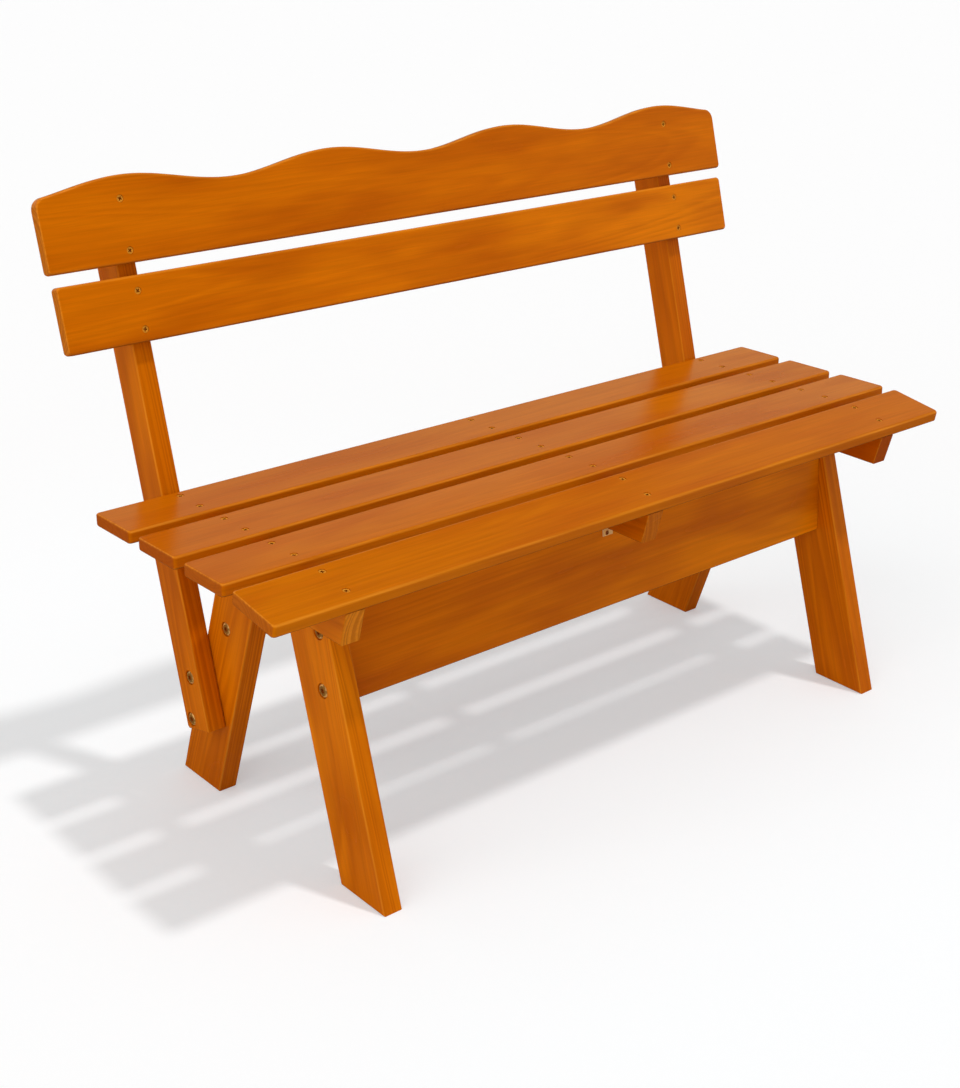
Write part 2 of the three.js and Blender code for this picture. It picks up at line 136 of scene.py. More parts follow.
class BenchFixingSizes(bpy.types.PropertyGroup):
    """Sizes of the screws, the bolts and the bracket."""

    screw_head: length_property("Screw head", "Diameter of a countersunk head", 9)
    screw_rim: length_property("Screw rim", "Straight rim of a countersunk head", 0.5)
    screw_shank: length_property("Screw shank", "Diameter of a wood screw", 4.5)
    screw_length: length_property("Screw length", "From the head's top to the tip", 40)
    screw_tip: length_property("Screw tip", "Length of the pointed end", 6)
    screw_sink: length_property("Screw sink", "Top of the head below the wood", 1)
    recess_width: length_property("Recess width", "Across the cross recess", 5.4)
    recess_slot: length_property("Recess slot", "Width of each of its slots", 1.7)
    recess_depth: length_property("Recess depth", "Depth of the recess", 2)
    bolt_head: length_property("Bolt head", "Diameter of a connector bolt's head", 17)
    bolt_head_height: length_property("Bolt head height", "Thickness of that head", 3)
    crown_width: length_property("Bolt crown", "Width of the rounded ring round the head", 4)
    crown_drop: length_property("Bolt crown drop", "Fall of that ring to the head's rim", 1.8)
    bolt_shank: length_property("Bolt shank", "Diameter of a bolt", 6)
    socket_width: length_property("Socket width", "Across the corners of the hex socket", 7)
    socket_depth: length_property("Socket depth", "Depth of the hex socket", 2.2)
    bore_margin: length_property("Bore margin", "Room round a bolt's head", 1.5)
    nut_width: length_property("Nut width", "Across the corners of a nut", 11.5)
    nut_height: length_property("Nut height", "Thickness of a nut", 5)
    dowel: length_property("Cross dowel", "Diameter of a cross dowel nut", 10)
    dowel_skin: length_property("Cross dowel skin", "Wood left in front of a cross dowel", 3)
    dowel_recess: length_property("Cross dowel recess", "Its end below the apron's inner face", 0.5)
    proud: length_property("Bolt end", "A bolt's end past its nut", 2)
    frame_screw_length: length_property("Frame screw", "Screws from the legs into the end bearers", 50)
    bracket_wing: length_property("Bracket wing", "Length of each wing of the angle bracket", 16)
    bracket_width: length_property("Bracket width", "Width of its strip", 18)
    bracket_thickness: length_property("Bracket plate", "Thickness of its steel", 2)
    bracket_bend: length_property("Bracket bend", "Outer radius of its bend", 3)
    bracket_hole: length_property("Bracket hole", "Diameter of its holes", 5)
    bracket_screw: length_property("Bracket screw", "Diameter of its screws' heads", 8.5)
    bracket_screw_length: length_property("Bracket screw length", "Length of its screws", 14)
    fit: length_property("Fit", "Gap between a fastener and its hole", 0.3)


class BenchColours(bpy.types.PropertyGroup):
    """Colours of the finishes."""

    thin_stain: colour_property("Thin stain", "Wood that took the stain thinly", "#ea8c04")
    thick_stain: colour_property("Thick stain", "Wood that took the stain deeply", "#c26000")
    late_wood: colour_property("Late wood", "Stained wood of the growth lines", "#aa4800")
    # Painted shade: a reddening of every board but the slats, for the redder hue of their less lit faces
    shade_reddening: colour_property("Heartwood", "Tone that reddens the boards with heartwood", "#ffe8ff")
    blotch: colour_property("Blotch", "Where the stain lies thickest", "#b85400")
    end_light: colour_property("End grain", "Sawn ends between the growth lines", "#ec8c18")
    end_dark: colour_property("End grain lines", "Growth lines of the sawn ends", "#cc7410")
    # Partly painted highlight: the paler arris stands for the gleam that the arrises catch, and for stain
    # rubbed thin
    worn_arris_highlight: colour_property("Arris", "Edges, where the stain is rubbed thin", "#ee9a30")
    # Painted shade: the dark brown along the arrises that look down
    pooled_stain_and_arris_shade: colour_property("Pooled stain", "Lower edges, where the stain ran together", "#7c3a04")
    yellow_zinc: colour_property("Yellow zinc", "Passivated bolts", "#b07628")
    # Partly painted glint: the light crowns stand for glints on the heads, and for plating rubbed bright
    rubbed: colour_property("Rubbed zinc", "Crowns of the heads, rubbed bright", "#f6be6c")
    stained_screw: colour_property("Stained screw", "Screw heads under the stain", "#f2a030")
    # Painted shade: the dark brown inside the heads' recesses, with the stain on the stained screws
    recess: colour_property("Recess", "Dirt and stain inside the heads' recesses", "#a04c08")
    bright_zinc: colour_property("Bright zinc", "The bracket", "#ffcc84")
    gleam: colour_property("Gleam", "Tint of the varnish's gleam, seen straight on", "#c85a00")
    warm_white: colour_property("Warm white", "The backdrop in reflections", "#fff2c4")
    floor: colour_property("Floor", "Pale studio floor", "#e2e2e1")


class BenchStudio(bpy.types.PropertyGroup):
    """Light levels and the floor's size."""

    backdrop: share_property("Backdrop", "White that the camera sees", 0.982)
    mirrored: share_property("Mirrored backdrop", "Level of the backdrop in reflections", 0.5)
    mirrored_floor: share_property("Mirrored floor", "Level of the floor in reflections", 0.04)
    ceiling: share_property("Ceiling", "What reflections see above the backdrop", 0.03)
    ambient: share_property("Ambient", "Soft light from all round", 0.5)
    key: share_property("Key light", "Level of the high light on a face turned to it", 0.36)
    fill: share_property("Fill light", "Level of the soft light from the left", 0.33)
    floor_lit: share_property("Floor light", "Part of the floor's white that isn't lit by the lamps", 0.28)
    floor_side: length_property("Floor side", "Side of the floor", 80_000)


# Frame pieces read as boards and fasteners

# How near points lie that are the same, that are in a straight line, and that are level
SAME_POINT = 1 * MM
STRAIGHT = 0.05 * MM
LEVEL = 0.01 * MM
# Digits in which the normals of faces that belong together agree
NORMAL_DIGITS = 2
# The least part that a unit vector has along an axis that it follows
MOSTLY = 0.5
# Places along a shank, one of which lies in each board that the fastener goes through
SHANK_SHARES = (0.1, 0.3, 0.5, 0.7, 0.9)


def read_vectors(values, field):
    """The vectors of a mesh's vertices or corners, one in each row."""
    flat = np.empty(len(values) * 3, np.float32)
    values.foreach_get(field, flat)
    return flat.reshape(-1, 3)


def node_points(node):
    return read_vectors(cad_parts[node].data.vertices, "co").astype(float)


def nodes_named(*starts):
    return sorted(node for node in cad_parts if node.startswith(starts))


def outward(node):
    """The way from the bench's middle to a node, along the bench."""
    low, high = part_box(node)
    return ALONG if low.x + high.x > 0 else -ALONG


def broad_face(node, toward):
    """Unit normal of the faces that make up most of a board, on the side that faces a direction."""
    areas = {}
    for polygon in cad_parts[node].data.polygons:
        normal = polygon.normal if polygon.normal.dot(toward) >= 0 else -polygon.normal
        key = tuple(round(value, NORMAL_DIGITS) for value in normal)
        total, weighted = areas.get(key, (0, Vector()))
        areas[key] = (total + polygon.area, weighted + normal * polygon.area)
    return max(areas.values(), key=lambda entry: entry[0])[1].normalized()


def hull_corners(points):
    """The corners of the convex outline round flat points, without those on its straight sides."""
    ring = [Vector(points[index]) for index in convex_hull_2d([tuple(point) for point in points])]
    corners = []
    for point in ring:
        if not corners or (point - corners[-1]).length > SAME_POINT:
            corners.append(point)
    kept = []
    for at, point in enumerate(corners):
        before = corners[at - 1]
        after = corners[(at + 1) % len(corners)]
        side = (after - before).normalized()
        if abs(side.cross(point - before)) > STRAIGHT:
            kept.append(point)
    return kept


class Board:
    """A frame board's own axes, with x along its length, y over its width and z out of its face."""

    def __init__(self, node, toward):
        self.node = node
        face = broad_face(node, toward)
        flat = ALONG if abs(face.dot(ALONG)) < MOSTLY else UP
        across = face.cross(flat).normalized()
        flat = across.cross(face)
        points = node_points(node)
        seen = np.stack([points @ np.array(flat), points @ np.array(across)], axis=1)
        outline = hull_corners(seen)
        sides = [outline[at] - outline[at - 1] for at in range(len(outline))]
        longest = max(sides, key=lambda side: side.length).normalized()
        if longest.x < 0:
            longest.negate()
        self.axes = Matrix((
            flat * longest.x + across * longest.y,
            across * longest.x - flat * longest.y,
            face,
        )).transposed()
        local = points @ np.array(self.axes)
        low, high = local.min(0), local.max(0)
        self.size = Vector(high - low)
        centre = self.axes @ Vector((low + high) / 2)
        self.place = Matrix.Translation(centre) @ self.axes.to_4x4()
        turned = [Vector((point.dot(longest), longest.cross(point))) for point in outline]
        middle = Vector(((low[0] + high[0]) / 2, (low[1] + high[1]) / 2))
        self.outline = [point - middle for point in turned]

    def meets(self, fastener):
        """Whether a fastener's shank passes through the board."""
        into_board = self.place.inverted()
        half = self.size / 2
        for share in SHANK_SHARES:
            point = into_board @ (fastener.head - fastener.axis * fastener.length * share)
            if all(abs(point[axis]) < half[axis] for axis in range(3)):
                return True
        return False


class Fastener:
    """Where a screw or bolt sits: the middle of its head's top, and the way that the head faces."""

    def __init__(self, head, axis, length, kind, across=UP):
        self.head = head
        self.axis = axis.normalized()
        self.length = length
        self.kind = kind
        self.across = across.normalized()

    def place(self):
        """The matrix that stands the fastener's own Z axis, with its head up, where it sits."""
        side = self.across.cross(self.axis).normalized()
        across = self.axis.cross(side)
        return Matrix.Translation(self.head) @ Matrix((side, across, self.axis)).transposed().to_4x4()


def read_fastener(node, axis, kind, across=UP):
    points = node_points(node)
    heights = points @ np.array(axis.normalized())
    top = points[heights > heights.max() - LEVEL]
    middle = Vector((top.min(0) + top.max(0)) / 2)
    return Fastener(middle, axis, float(heights.max() - heights.min()), kind, across)


SEAT_SLATS = nodes_named("seat_slat_")
BACK_BOARDS = nodes_named("back_board_")
APRONS = nodes_named("apron_front", "apron_rear")
SAWN = nodes_named("leg_", "back_upright_", "seat_bearer_")
SEAT_SCREWS = nodes_named("seat_screw_")
BACK_SCREWS = nodes_named("back_screw_")
APRON_BOLTS = nodes_named("apron_bolt_")
UPRIGHT_BOLTS = nodes_named("upright_bolt_")

FACED = {
    **dict.fromkeys(SEAT_SLATS, UP),
    **dict.fromkeys(BACK_BOARDS, FRONT),
    "apron_front": FRONT,
    "apron_rear": REAR,
    **{node: outward(node) for node in SAWN},
}
BOARDS = {node: Board(node, toward) for node, toward in FACED.items()}


def read_fasteners():
    """Every screw and bolt of the frame, by its node's name, which holds the board's at its third word."""
    found = {}
    for nodes, boards in ((SEAT_SCREWS, "seat_slat_"), (BACK_SCREWS, "back_board_")):
        for node in nodes:
            face = BOARDS[boards + node.split("_")[2]].axes.col[2]
            found[node] = read_fastener(node, face, "screw", ALONG)
    for node in APRON_BOLTS:
        face = BOARDS["apron_" + node.split("_")[2]].axes.col[2]
        found[node] = read_fastener(node, outward(node), "dowel bolt", face)
    for node in UPRIGHT_BOLTS:
        found[node] = read_fastener(node, outward(node), "bolt")
    return found


FASTENERS = read_fasteners()
# How far the frame screws lie from a leg's middle line, and from the middle of the bearer's height
LEG_SCREW_ASIDE = 16 * MM
LEG_SCREW_RISE = 11 * MM


def upper_rear_bolts():
    """The rear apron's upper bolts, which lie as high above its lower ones as those of the front apron."""
    bolts = []
    for side in SIDES:
        front = [FASTENERS[f"apron_bolt_front_{side}_{row}"] for row in ("lower", "upper")]
        rise = front[1].head - front[0].head
        lower = FASTENERS[f"apron_bolt_rear_{side}_lower"]
        head = lower.head + Vector((0, -rise.y, rise.z))
        bolts.append(Fastener(head, lower.axis, lower.length, lower.kind, lower.across))
    return bolts


def frame_screws(fixings):
    """Two screws from inside each leg into the end bearer that lies against it."""
    screws = []
    for end in ("front", "rear"):
        for side in SIDES:
            leg = BOARDS[f"leg_{end}_{side}"]
            bearer = BOARDS[f"seat_bearer_{side}"]
            inward = -leg.axes.col[2]
            grain = leg.axes.col[0]
            middle = leg.place.translation + inward * leg.size.z / 2
            for way in (-1, 1):
                height = bearer.place.translation.z + way * LEG_SCREW_RISE
                on_axis = middle + grain * ((height - middle.z) / grain.z)
                head = on_axis + REAR * way * LEG_SCREW_ASIDE - inward * fixings.screw_sink
                screws.append(Fastener(head, inward, fixings.frame_screw_length, "screw"))
    return screws


# Nodes and meshes


def add_node(tree, kind, inputs=(), **settings):
    """Adds a node with its settings, and gives its inputs values or links.

    The inputs come in the order of the sockets, or by socket. A node given as an input stands for the
    first of its outputs that is in use.
    """
    node = tree.nodes.new(kind)
    for key, value in settings.items():
        setattr(node, key, value)
    pairs = inputs.items() if isinstance(inputs, dict) else enumerate(inputs)
    for socket, value in pairs:
        if isinstance(value, bpy.types.Node):
            value = next(output for output in value.outputs if output.enabled)
        if isinstance(value, bpy.types.NodeSocket):
            tree.links.new(value, node.inputs[socket])
        else:
            node.inputs[socket].default_value = value
    return node


def start_tree(name, lengths, others):
    """A geometry node tree with the named inputs, and the sockets that give them."""
    tree = bpy.data.node_groups.new(name, "GeometryNodeTree")
    tree.is_modifier = True
    for label in lengths:
        socket = tree.interface.new_socket(label, in_out="INPUT", socket_type="NodeSocketFloat")
        socket.subtype = "DISTANCE"
    for label, kind in others.items():
        tree.interface.new_socket(label, in_out="INPUT", socket_type="NodeSocket" + kind)
    tree.interface.new_socket("Geometry", in_out="OUTPUT", socket_type="NodeSocketGeometry")
    return tree, add_node(tree, "NodeGroupInput").outputs


def end_tree(tree, geometry, material):
    real = add_node(tree, "GeometryNodeRealizeInstances", (geometry,))
    coloured = add_node(tree, "GeometryNodeSetMaterial", {"Geometry": real, "Material": material})
    add_node(tree, "NodeGroupOutput", (coloured,))
    return tree


def set_inputs(modifier, tree, values):
    modifier.node_group = tree
    for item in tree.interface.items_tree:
        if item.in_out == "INPUT" and item.name in values:
            modifier[item.identifier] = values[item.name]


def new_object(name, mesh):
    piece = bpy.data.objects.new(name, mesh)
    bpy.context.scene.collection.objects.link(piece)
    return piece


def settle(piece):
    """Turns a piece with its modifiers into a plain mesh."""
    seen = piece.evaluated_get(bpy.context.evaluated_depsgraph_get())
    mesh = bpy.data.meshes.new_from_object(seen)
    old = piece.data
    piece.modifiers.clear()
    piece.data = mesh
    mesh.name = piece.name
    bpy.data.meshes.remove(old)
    return mesh


def store(mesh, name, kind, domain, values):
    """Stores numbers or vectors on a mesh as a named attribute."""
    field = "vector" if kind == "FLOAT_VECTOR" else "value"
    stored = mesh.attributes.new(name, kind, domain)
    stored.data.foreach_set(field, np.asarray(values, np.float32).ravel())


SMOOTH_ANGLE = math.radians(38)


def smooth(mesh):
    mesh.shade_smooth()
    mesh.set_sharp_from_angle(angle=SMOOTH_ANGLE)


def hand_over(piece, slot, *nodes):
    """Hides the frame's nodes that a piece stands for, and attaches the piece to its body. slot is not used.
    """
    if nodes:
        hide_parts(*nodes)
    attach(piece, BODY)


def closed_mesh(shape):
    """The mesh of a closed shape, with its faces pointing out."""
    bmesh.ops.recalc_face_normals(shape, faces=shape.faces)
    mesh = bpy.data.meshes.new("solid")
    shape.to_mesh(mesh)
    shape.free()
    return mesh


def turned_mesh(profile, sides):
    """A closed solid turned about Z, from radii and heights listed from the top down."""
    shape = bmesh.new()
    angles = [2 * math.pi * step / sides for step in range(sides)]
    rings = []
    for radius, height in profile:
        round_points = [(radius * math.cos(angle), radius * math.sin(angle), height) for angle in angles]
        points = round_points if radius else [(0, 0, height)]
        rings.append([shape.verts.new(point) for point in points])
    for upper, lower in zip(rings, rings[1:]):
        for step in range(sides):
            following = (step + 1) % sides
            corners = [upper[step % len(upper)], upper[following % len(upper)]]
            corners += [lower[following % len(lower)], lower[step % len(lower)]]
            shape.faces.new(list(dict.fromkeys(corners)))
    return closed_mesh(shape)


def cylinder_mesh(radius, top, bottom, sides):
    return turned_mesh([(0, top), (radius, top), (radius, bottom), (0, bottom)], sides)


def prism_mesh(outline, low, high):
    """A closed solid between two heights, from a flat outline's corners."""
    shape = bmesh.new()
    upper = [shape.verts.new((*point, high)) for point in outline]
    lower = [shape.verts.new((*point, low)) for point in outline]
    shape.faces.new(upper)
    shape.faces.new(lower)
    for at in range(len(outline)):
        shape.faces.new((upper[at - 1], upper[at], lower[at], lower[at - 1]))
    return closed_mesh(shape)


def combine(piece, other_mesh, operation):
    """Adds a mesh to a piece or cuts it away, and drops it."""
    other = new_object("other", other_mesh)
    change = piece.modifiers.new("Change", "BOOLEAN")
    change.operation = operation
    change.solver = "EXACT"
    change.object = other
    settle(piece)
    bpy.data.meshes.remove(other_mesh)


# Holes

HOLE_SIDES = 32
OVERRUN = 5 * MM


def hole_profile(fastener, fixings):
    """The hole that a fastener needs, from above the wood down, measured from its head's top."""
    fit = fixings.fit
    end = -fastener.length - fit
    if fastener.kind == "screw":
        head = fixings.screw_head / 2 + fit
        shank = fixings.screw_shank / 2 + fit
        seat = -fixings.screw_rim - fit
        neck = seat - head + shank
    else:
        head = fixings.bolt_head / 2 + fixings.bore_margin
        shank = fixings.bolt_shank / 2 + fit
        seat = neck = -fixings.bolt_head_height - fit
    return [(0, OVERRUN), (head, OVERRUN), (head, seat), (shank, neck), (shank, end), (0, end)]


def dowel_span(fixings, thickness):
    """Where a cross dowel starts and ends, from the middle of the apron that holds it."""
    return fixings.dowel_recess - thickness / 2, thickness / 2 - fixings.dowel_skin - fixings.fit


def cross_cylinder(radius, start, end, length, fixings, sides):
    """A cylinder along y, where a bolt of a given length is screwed into its cross dowel."""
    depth = length - fixings.proud - fixings.dowel / 2
    mesh = cylinder_mesh(radius, end, start, sides)
    mesh.transform(Matrix.Translation((0, 0, -depth)) @ Matrix.Rotation(-math.pi / 2, 4, "X"))
    return mesh


def hole_meshes(board, fastener, fixings):
    """The holes that a fastener needs in a board, in the fastener's own axes."""
    holes = [turned_mesh(hole_profile(fastener, fixings), HOLE_SIDES)]
    if fastener.kind == "dowel bolt" and board.node in APRONS:
        radius = fixings.dowel / 2 + fixings.fit
        end = dowel_span(fixings, board.size.z)[1] + fixings.fit
        holes.append(cross_cylinder(radius, -board.size.z, end, fastener.length, fixings, HOLE_SIDES))
    return holes


def hole_cutter(board, fasteners, fixings):
    """One mesh of all the holes that a board needs, in the board's own axes."""
    into_board = board.place.inverted()
    shape = bmesh.new()
    for fastener in fasteners:
        if board.meets(fastener):
            for hole in hole_meshes(board, fastener, fixings):
                hole.transform(into_board @ fastener.place())
                shape.from_mesh(hole)
                bpy.data.meshes.remove(hole)
    mesh = bpy.data.meshes.new("holes")
    shape.to_mesh(mesh)
    shape.free()
    return new_object("holes", mesh)


# Boards

WAVE_STEP = 9 * MM
# How far the wavy edge stays inside the frame's, whose eased arris is coarser
WAVE_EASE = 0.3 * MM
STRAIGHT_STEPS = 2
CORNER_STEPS = 6
ARRIS_SEGMENTS = 4


def board_tree():
    """Geometry nodes of a board whose upper edge may follow a cosine wave."""
    lengths = ("Length", "Width", "Thickness", "Corner", "Shoulder", "Wave Height", "Wave Pitch")
    others = {"Wave Steps": "Int", "Corner Steps": "Int", "Arris Share": "Float", "Material": "Material"}
    tree, given = start_tree("Board", lengths, others)

    # The rectangle's points and the steps along its upper edge
    rectangle = add_node(tree, "GeometryNodeCurvePrimitiveQuadrilateral", (given["Length"], given["Width"]))
    place = add_node(tree, SEPARATE, (add_node(tree, "GeometryNodeInputPosition"),)).outputs
    upper = add_node(tree, COMPARE, (place["Y"], 0.0), operation="GREATER_THAN")
    right = add_node(tree, COMPARE, (place["X"], 0.0), operation="GREATER_THAN")
    starts_top = add_node(tree, "FunctionNodeBooleanMath", (upper, right), operation="AND")
    cuts = add_node(tree, SWITCH, (starts_top, 0, given["Wave Steps"]), input_type="INT")
    divided = add_node(tree, "GeometryNodeSubdivideCurve", (rectangle, cuts))

    # The wave, which stops level where the rounded shoulders start
    half = add_node(tree, MATH, (given["Length"], 0.5), operation="MULTIPLY")
    last = add_node(tree, MATH, (half, given["Shoulder"]), operation="SUBTRACT")
    gaps = add_node(tree, MATH, (given["Wave Steps"], 1.0), operation="ADD")
    step = add_node(tree, MATH, (given["Length"], gaps), operation="DIVIDE")
    inner = add_node(tree, MATH, (half, step), operation="SUBTRACT")
    stretch = add_node(tree, MATH, (last, inner), operation="DIVIDE")
    moved = add_node(tree, MATH, (place["X"], stretch), operation="MULTIPLY")
    outside = add_node(tree, MATH, (place["X"],), operation="ABSOLUTE")
    near_end = add_node(tree, MATH, (half, STRAIGHT), operation="SUBTRACT")
    at_end = add_node(tree, COMPARE, (outside, near_end), operation="GREATER_THAN")
    across = add_node(tree, SWITCH, (at_end, moved, place["X"]), input_type="FLOAT")
    first = add_node(tree, MATH, (last, -1.0), operation="MULTIPLY")
    level = add_node(tree, MATH, (across, first), operation="MAXIMUM")
    level = add_node(tree, MATH, (level, last), operation="MINIMUM")
    turns = add_node(tree, MATH, (level, given["Wave Pitch"]), operation="DIVIDE")
    angle = add_node(tree, MATH, (turns, 2 * math.pi), operation="MULTIPLY")
    wave = add_node(tree, MATH, (angle,), operation="COSINE")
    fall = add_node(tree, MATH, (wave, 1.0), operation="ADD")
    drop = add_node(tree, MATH, (fall, given["Wave Height"]), operation="MULTIPLY")
    height = add_node(tree, MATH, (place["Y"], drop), operation="SUBTRACT")
    target = add_node(tree, COMBINE, (across, height))
    waved = add_node(tree, "GeometryNodeSetPosition", (divided, upper, target))

    # Rounded corners, the face, and the board's thickness
    corner = add_node(tree, SWITCH, (upper, given["Corner"], given["Shoulder"]), input_type="FLOAT")
    radius = add_node(tree, SWITCH, (at_end, 0.0, corner), input_type="FLOAT")
    rounded = add_node(tree, "GeometryNodeFilletCurve", {
        "Curve": waved,
        "Radius": radius,
        "Count": given["Corner Steps"],
    }, mode="POLY")
    sheet = add_node(tree, "GeometryNodeFillCurve", (rounded,), mode="NGONS")
    raised = add_node(tree, "GeometryNodeExtrudeMesh", {
        "Mesh": sheet,
        "Offset": add_node(tree, COMBINE, {"Z": 1.0}),
        "Offset Scale": given["Thickness"],
        "Individual": False,
    })
    under = add_node(tree, "GeometryNodeFlipFaces", (sheet,))
    joined = add_node(tree, "GeometryNodeJoinGeometry", (raised,))
    tree.links.new(under.outputs[0], joined.inputs[0])
    closed = add_node(tree, "GeometryNodeMergeByDistance", {"Geometry": joined, "Distance": STRAIGHT})
    sunk = add_node(tree, MATH, (given["Thickness"], -0.5), operation="MULTIPLY")
    offset = add_node(tree, COMBINE, {"Z": sunk})
    centred = add_node(tree, "GeometryNodeSetPosition", {"Geometry": closed, "Offset": offset})

    # Edges along the board are rounded in full, and those round its ends by a share
    ends = add_node(tree, "GeometryNodeInputMeshEdgeVertices").outputs
    run = add_node(tree, VECTOR_MATH, (ends["Position 2"], ends["Position 1"]), operation="SUBTRACT")
    unit = add_node(tree, VECTOR_MATH, (run,), operation="NORMALIZE")
    way = add_node(tree, SEPARATE, (unit,)).outputs
    lengthwise = add_node(tree, MATH, (way["X"],), operation="ABSOLUTE")
    upright = add_node(tree, MATH, (way["Z"],), operation="ABSOLUTE")
    weight = add_node(tree, MAP_RANGE, {"Value": lengthwise, "To Min": given["Arris Share"]})
    level_only = add_node(tree, MATH, (1.0, upright), operation="SUBTRACT")
    bevel = add_node(tree, MATH, (weight, level_only), operation="MULTIPLY")
    marked = add_node(tree, "GeometryNodeStoreNamedAttribute", {
        "Geometry": centred,
        "Name": "bevel_weight_edge",
        "Value": bevel,
    }, data_type="FLOAT", domain="EDGE")
    return end_tree(tree, marked, given["Material"])


def ruled_board(name, board, wood, waved):
    """A slat, apron or back board made by the board's geometry nodes."""
    tree = bpy.data.node_groups.get("Board") or board_tree()
    piece = new_object(name, bpy.data.meshes.new(name))
    set_inputs(piece.modifiers.new("Shape", "NODES"), tree, {
        "Length": board.size.x,
        "Width": board.size.y - (WAVE_EASE if waved else 0),
        "Thickness": board.size.z,
        "Corner": wood.corner,
        "Shoulder": wood.shoulder if waved else wood.corner,
        "Wave Height": wood.wave_height if waved else 0.0,
        "Wave Pitch": wood.wave_pitch,
        "Wave Steps": round(board.size.x / WAVE_STEP) if waved else STRAIGHT_STEPS,
        "Corner Steps": CORNER_STEPS,
        "Arris Share": wood.end_arris / wood.long_arris,
        "Material": pine(),
    })
    return piece


# The least part along the grain of an edge that is rounded in full
LONG_SHARE = 0.6


def outlined_board(name, board, wood):
    """A leg, upright or bearer, sawn to the outline that the frame gives it."""
    half = board.size.z / 2
    mesh = prism_mesh(board.outline, -half, half)
    shape = bmesh.new()
    shape.from_mesh(mesh)
    weights = shape.edges.layers.float.new("bevel_weight_edge")
    for edge in shape.edges:
        run = (edge.verts[1].co - edge.verts[0].co).normalized()
        if abs(run.z) < MOSTLY:
            edge[weights] = 1 if abs(run.x) > LONG_SHARE else wood.end_arris / wood.frame_arris
    shape.to_mesh(mesh)
    shape.free()
    return new_object(name, mesh)


# Where a board lay in its log, which it was sawn from nearly straight
PITH_DEPTH = (45 * MM, 75 * MM)
PITH_ASIDE = 25 * MM
PITH_TILT = (math.radians(0.7), math.radians(2.2))
PITH_TWIST = (-0.5, 0.5)
LOG_SPREAD = 30

# How deep the stain is on each board, from thin and golden to thick and red, at its left or lower end
# and at its other end. The depths were matched to the tones that the boards show where they stand,
# so they also hold painted light and shade; the right end bearer's full depth is painted shade.
STAIN_AND_SHADE_DEPTH = {
    "seat_slat_1": (0.7, 0.85),
    "seat_slat_2": (0.82, 0.75),
    "seat_slat_3": (0.9, 0.7),
    "seat_slat_4": (0.9, 0.8),
    "back_board_upper": (0.45, 0.5),
    "back_board_lower": (0.45, 0),
    "apron_front": (0.6, 0),
    "apron_rear": (0.6, 0.5),
    "leg_front_left": (0.4, 0),
    "leg_front_right": (0.5, 0.4),
    "leg_rear_left": (0.45, 0.35),
    "leg_rear_right": (0.6, 0.5),
    "back_upright_left": (0.5, 0.4),
    "back_upright_right": (0.55, 0.6),
    "seat_bearer_left": (0.15, 0.15),
    "seat_bearer_middle": (0.6, 0.6),
    # Painted shade: the deepest stain darkens this bearer's face that lies in shadow under the seat
    "seat_bearer_right": (1, 1),
}
# Where a board's middle lies between its two ends
MIDDLE_SHARE = 0.5

# How far a board is reddened as painted shade, for the redder hue of less lit faces, unless it is a slat
SHADE_REDDENING_SHARE = 0.8
# Brings the share of an arris to 1 where it faces half way between two sides
ARRIS_PEAK = 4
# How fast the painted shade on an arris deepens as the arris turns down
ARRIS_SHADE_RATE = 1.5


def mark_grain(mesh, board, figure, seed):
    """Stores where each point lies in its log, and which way each corner faces.

    grain is a place in the log, with the pith along x. facing holds how far a corner is round an arris,
    how far it looks along the grain, and how much painted shade it takes on an arris that looks down.
    plank holds the depth of stain there, which also holds painted light and shade, how strong the board's
    growth lines are and how far the board is reddened as painted shade.
    """
    chance = random.Random(seed)
    depth = chance.uniform(*PITH_DEPTH) * chance.choice((-1, 1))
    aside = chance.uniform(-PITH_ASIDE, PITH_ASIDE)
    tilt = chance.uniform(*PITH_TILT) * chance.choice((-1, 1))
    into_log = Matrix.Translation((chance.uniform(-LOG_SPREAD, LOG_SPREAD), aside, depth))
    into_log = into_log @ Matrix.Rotation(tilt, 4, "Y")
    into_log = into_log @ Matrix.Rotation(tilt * chance.uniform(*PITH_TWIST), 4, "Z")
    points = read_vectors(mesh.vertices, "co")
    in_log = points @ np.array(into_log.to_3x3()).T + np.array(into_log.translation)
    store(mesh, "grain", "FLOAT_VECTOR", "POINT", in_log)

    start, end = STAIN_AND_SHADE_DEPTH[board.node]
    plank = np.zeros_like(points)
    plank[:, 0] = start + (end - start) * (points[:, 0] / board.size.x + MIDDLE_SHARE)
    plank[:, 1] = figure
    plank[:, 2] = 0 if board.node in SEAT_SLATS else SHADE_REDDENING_SHARE
    store(mesh, "plank", "FLOAT_VECTOR", "POINT", plank)

    normals = read_vectors(mesh.corner_normals, "vector")
    round_arris = ARRIS_PEAK * normals[:, 2] ** 2 * (1 - normals[:, 2] ** 2)
    downward = np.clip(-(normals @ np.array(board.axes).T)[:, 2], 0, 1)
    # Painted shade on the arrises that look down
    pooled_stain_and_arris_shade = np.clip(round_arris * downward * ARRIS_SHADE_RATE, 0, 1)
    facing = np.stack([round_arris, normals[:, 0] ** 2, pooled_stain_and_arris_shade], axis=1)
    store(mesh, "facing", "FLOAT_VECTOR", "CORNER", facing)


# How strong the growth lines are on the boards of the seat and back, and on those of the frame
FACE_FIGURE = 0.3
FRAME_FIGURE = 0.65
FIRST_SEED = 100


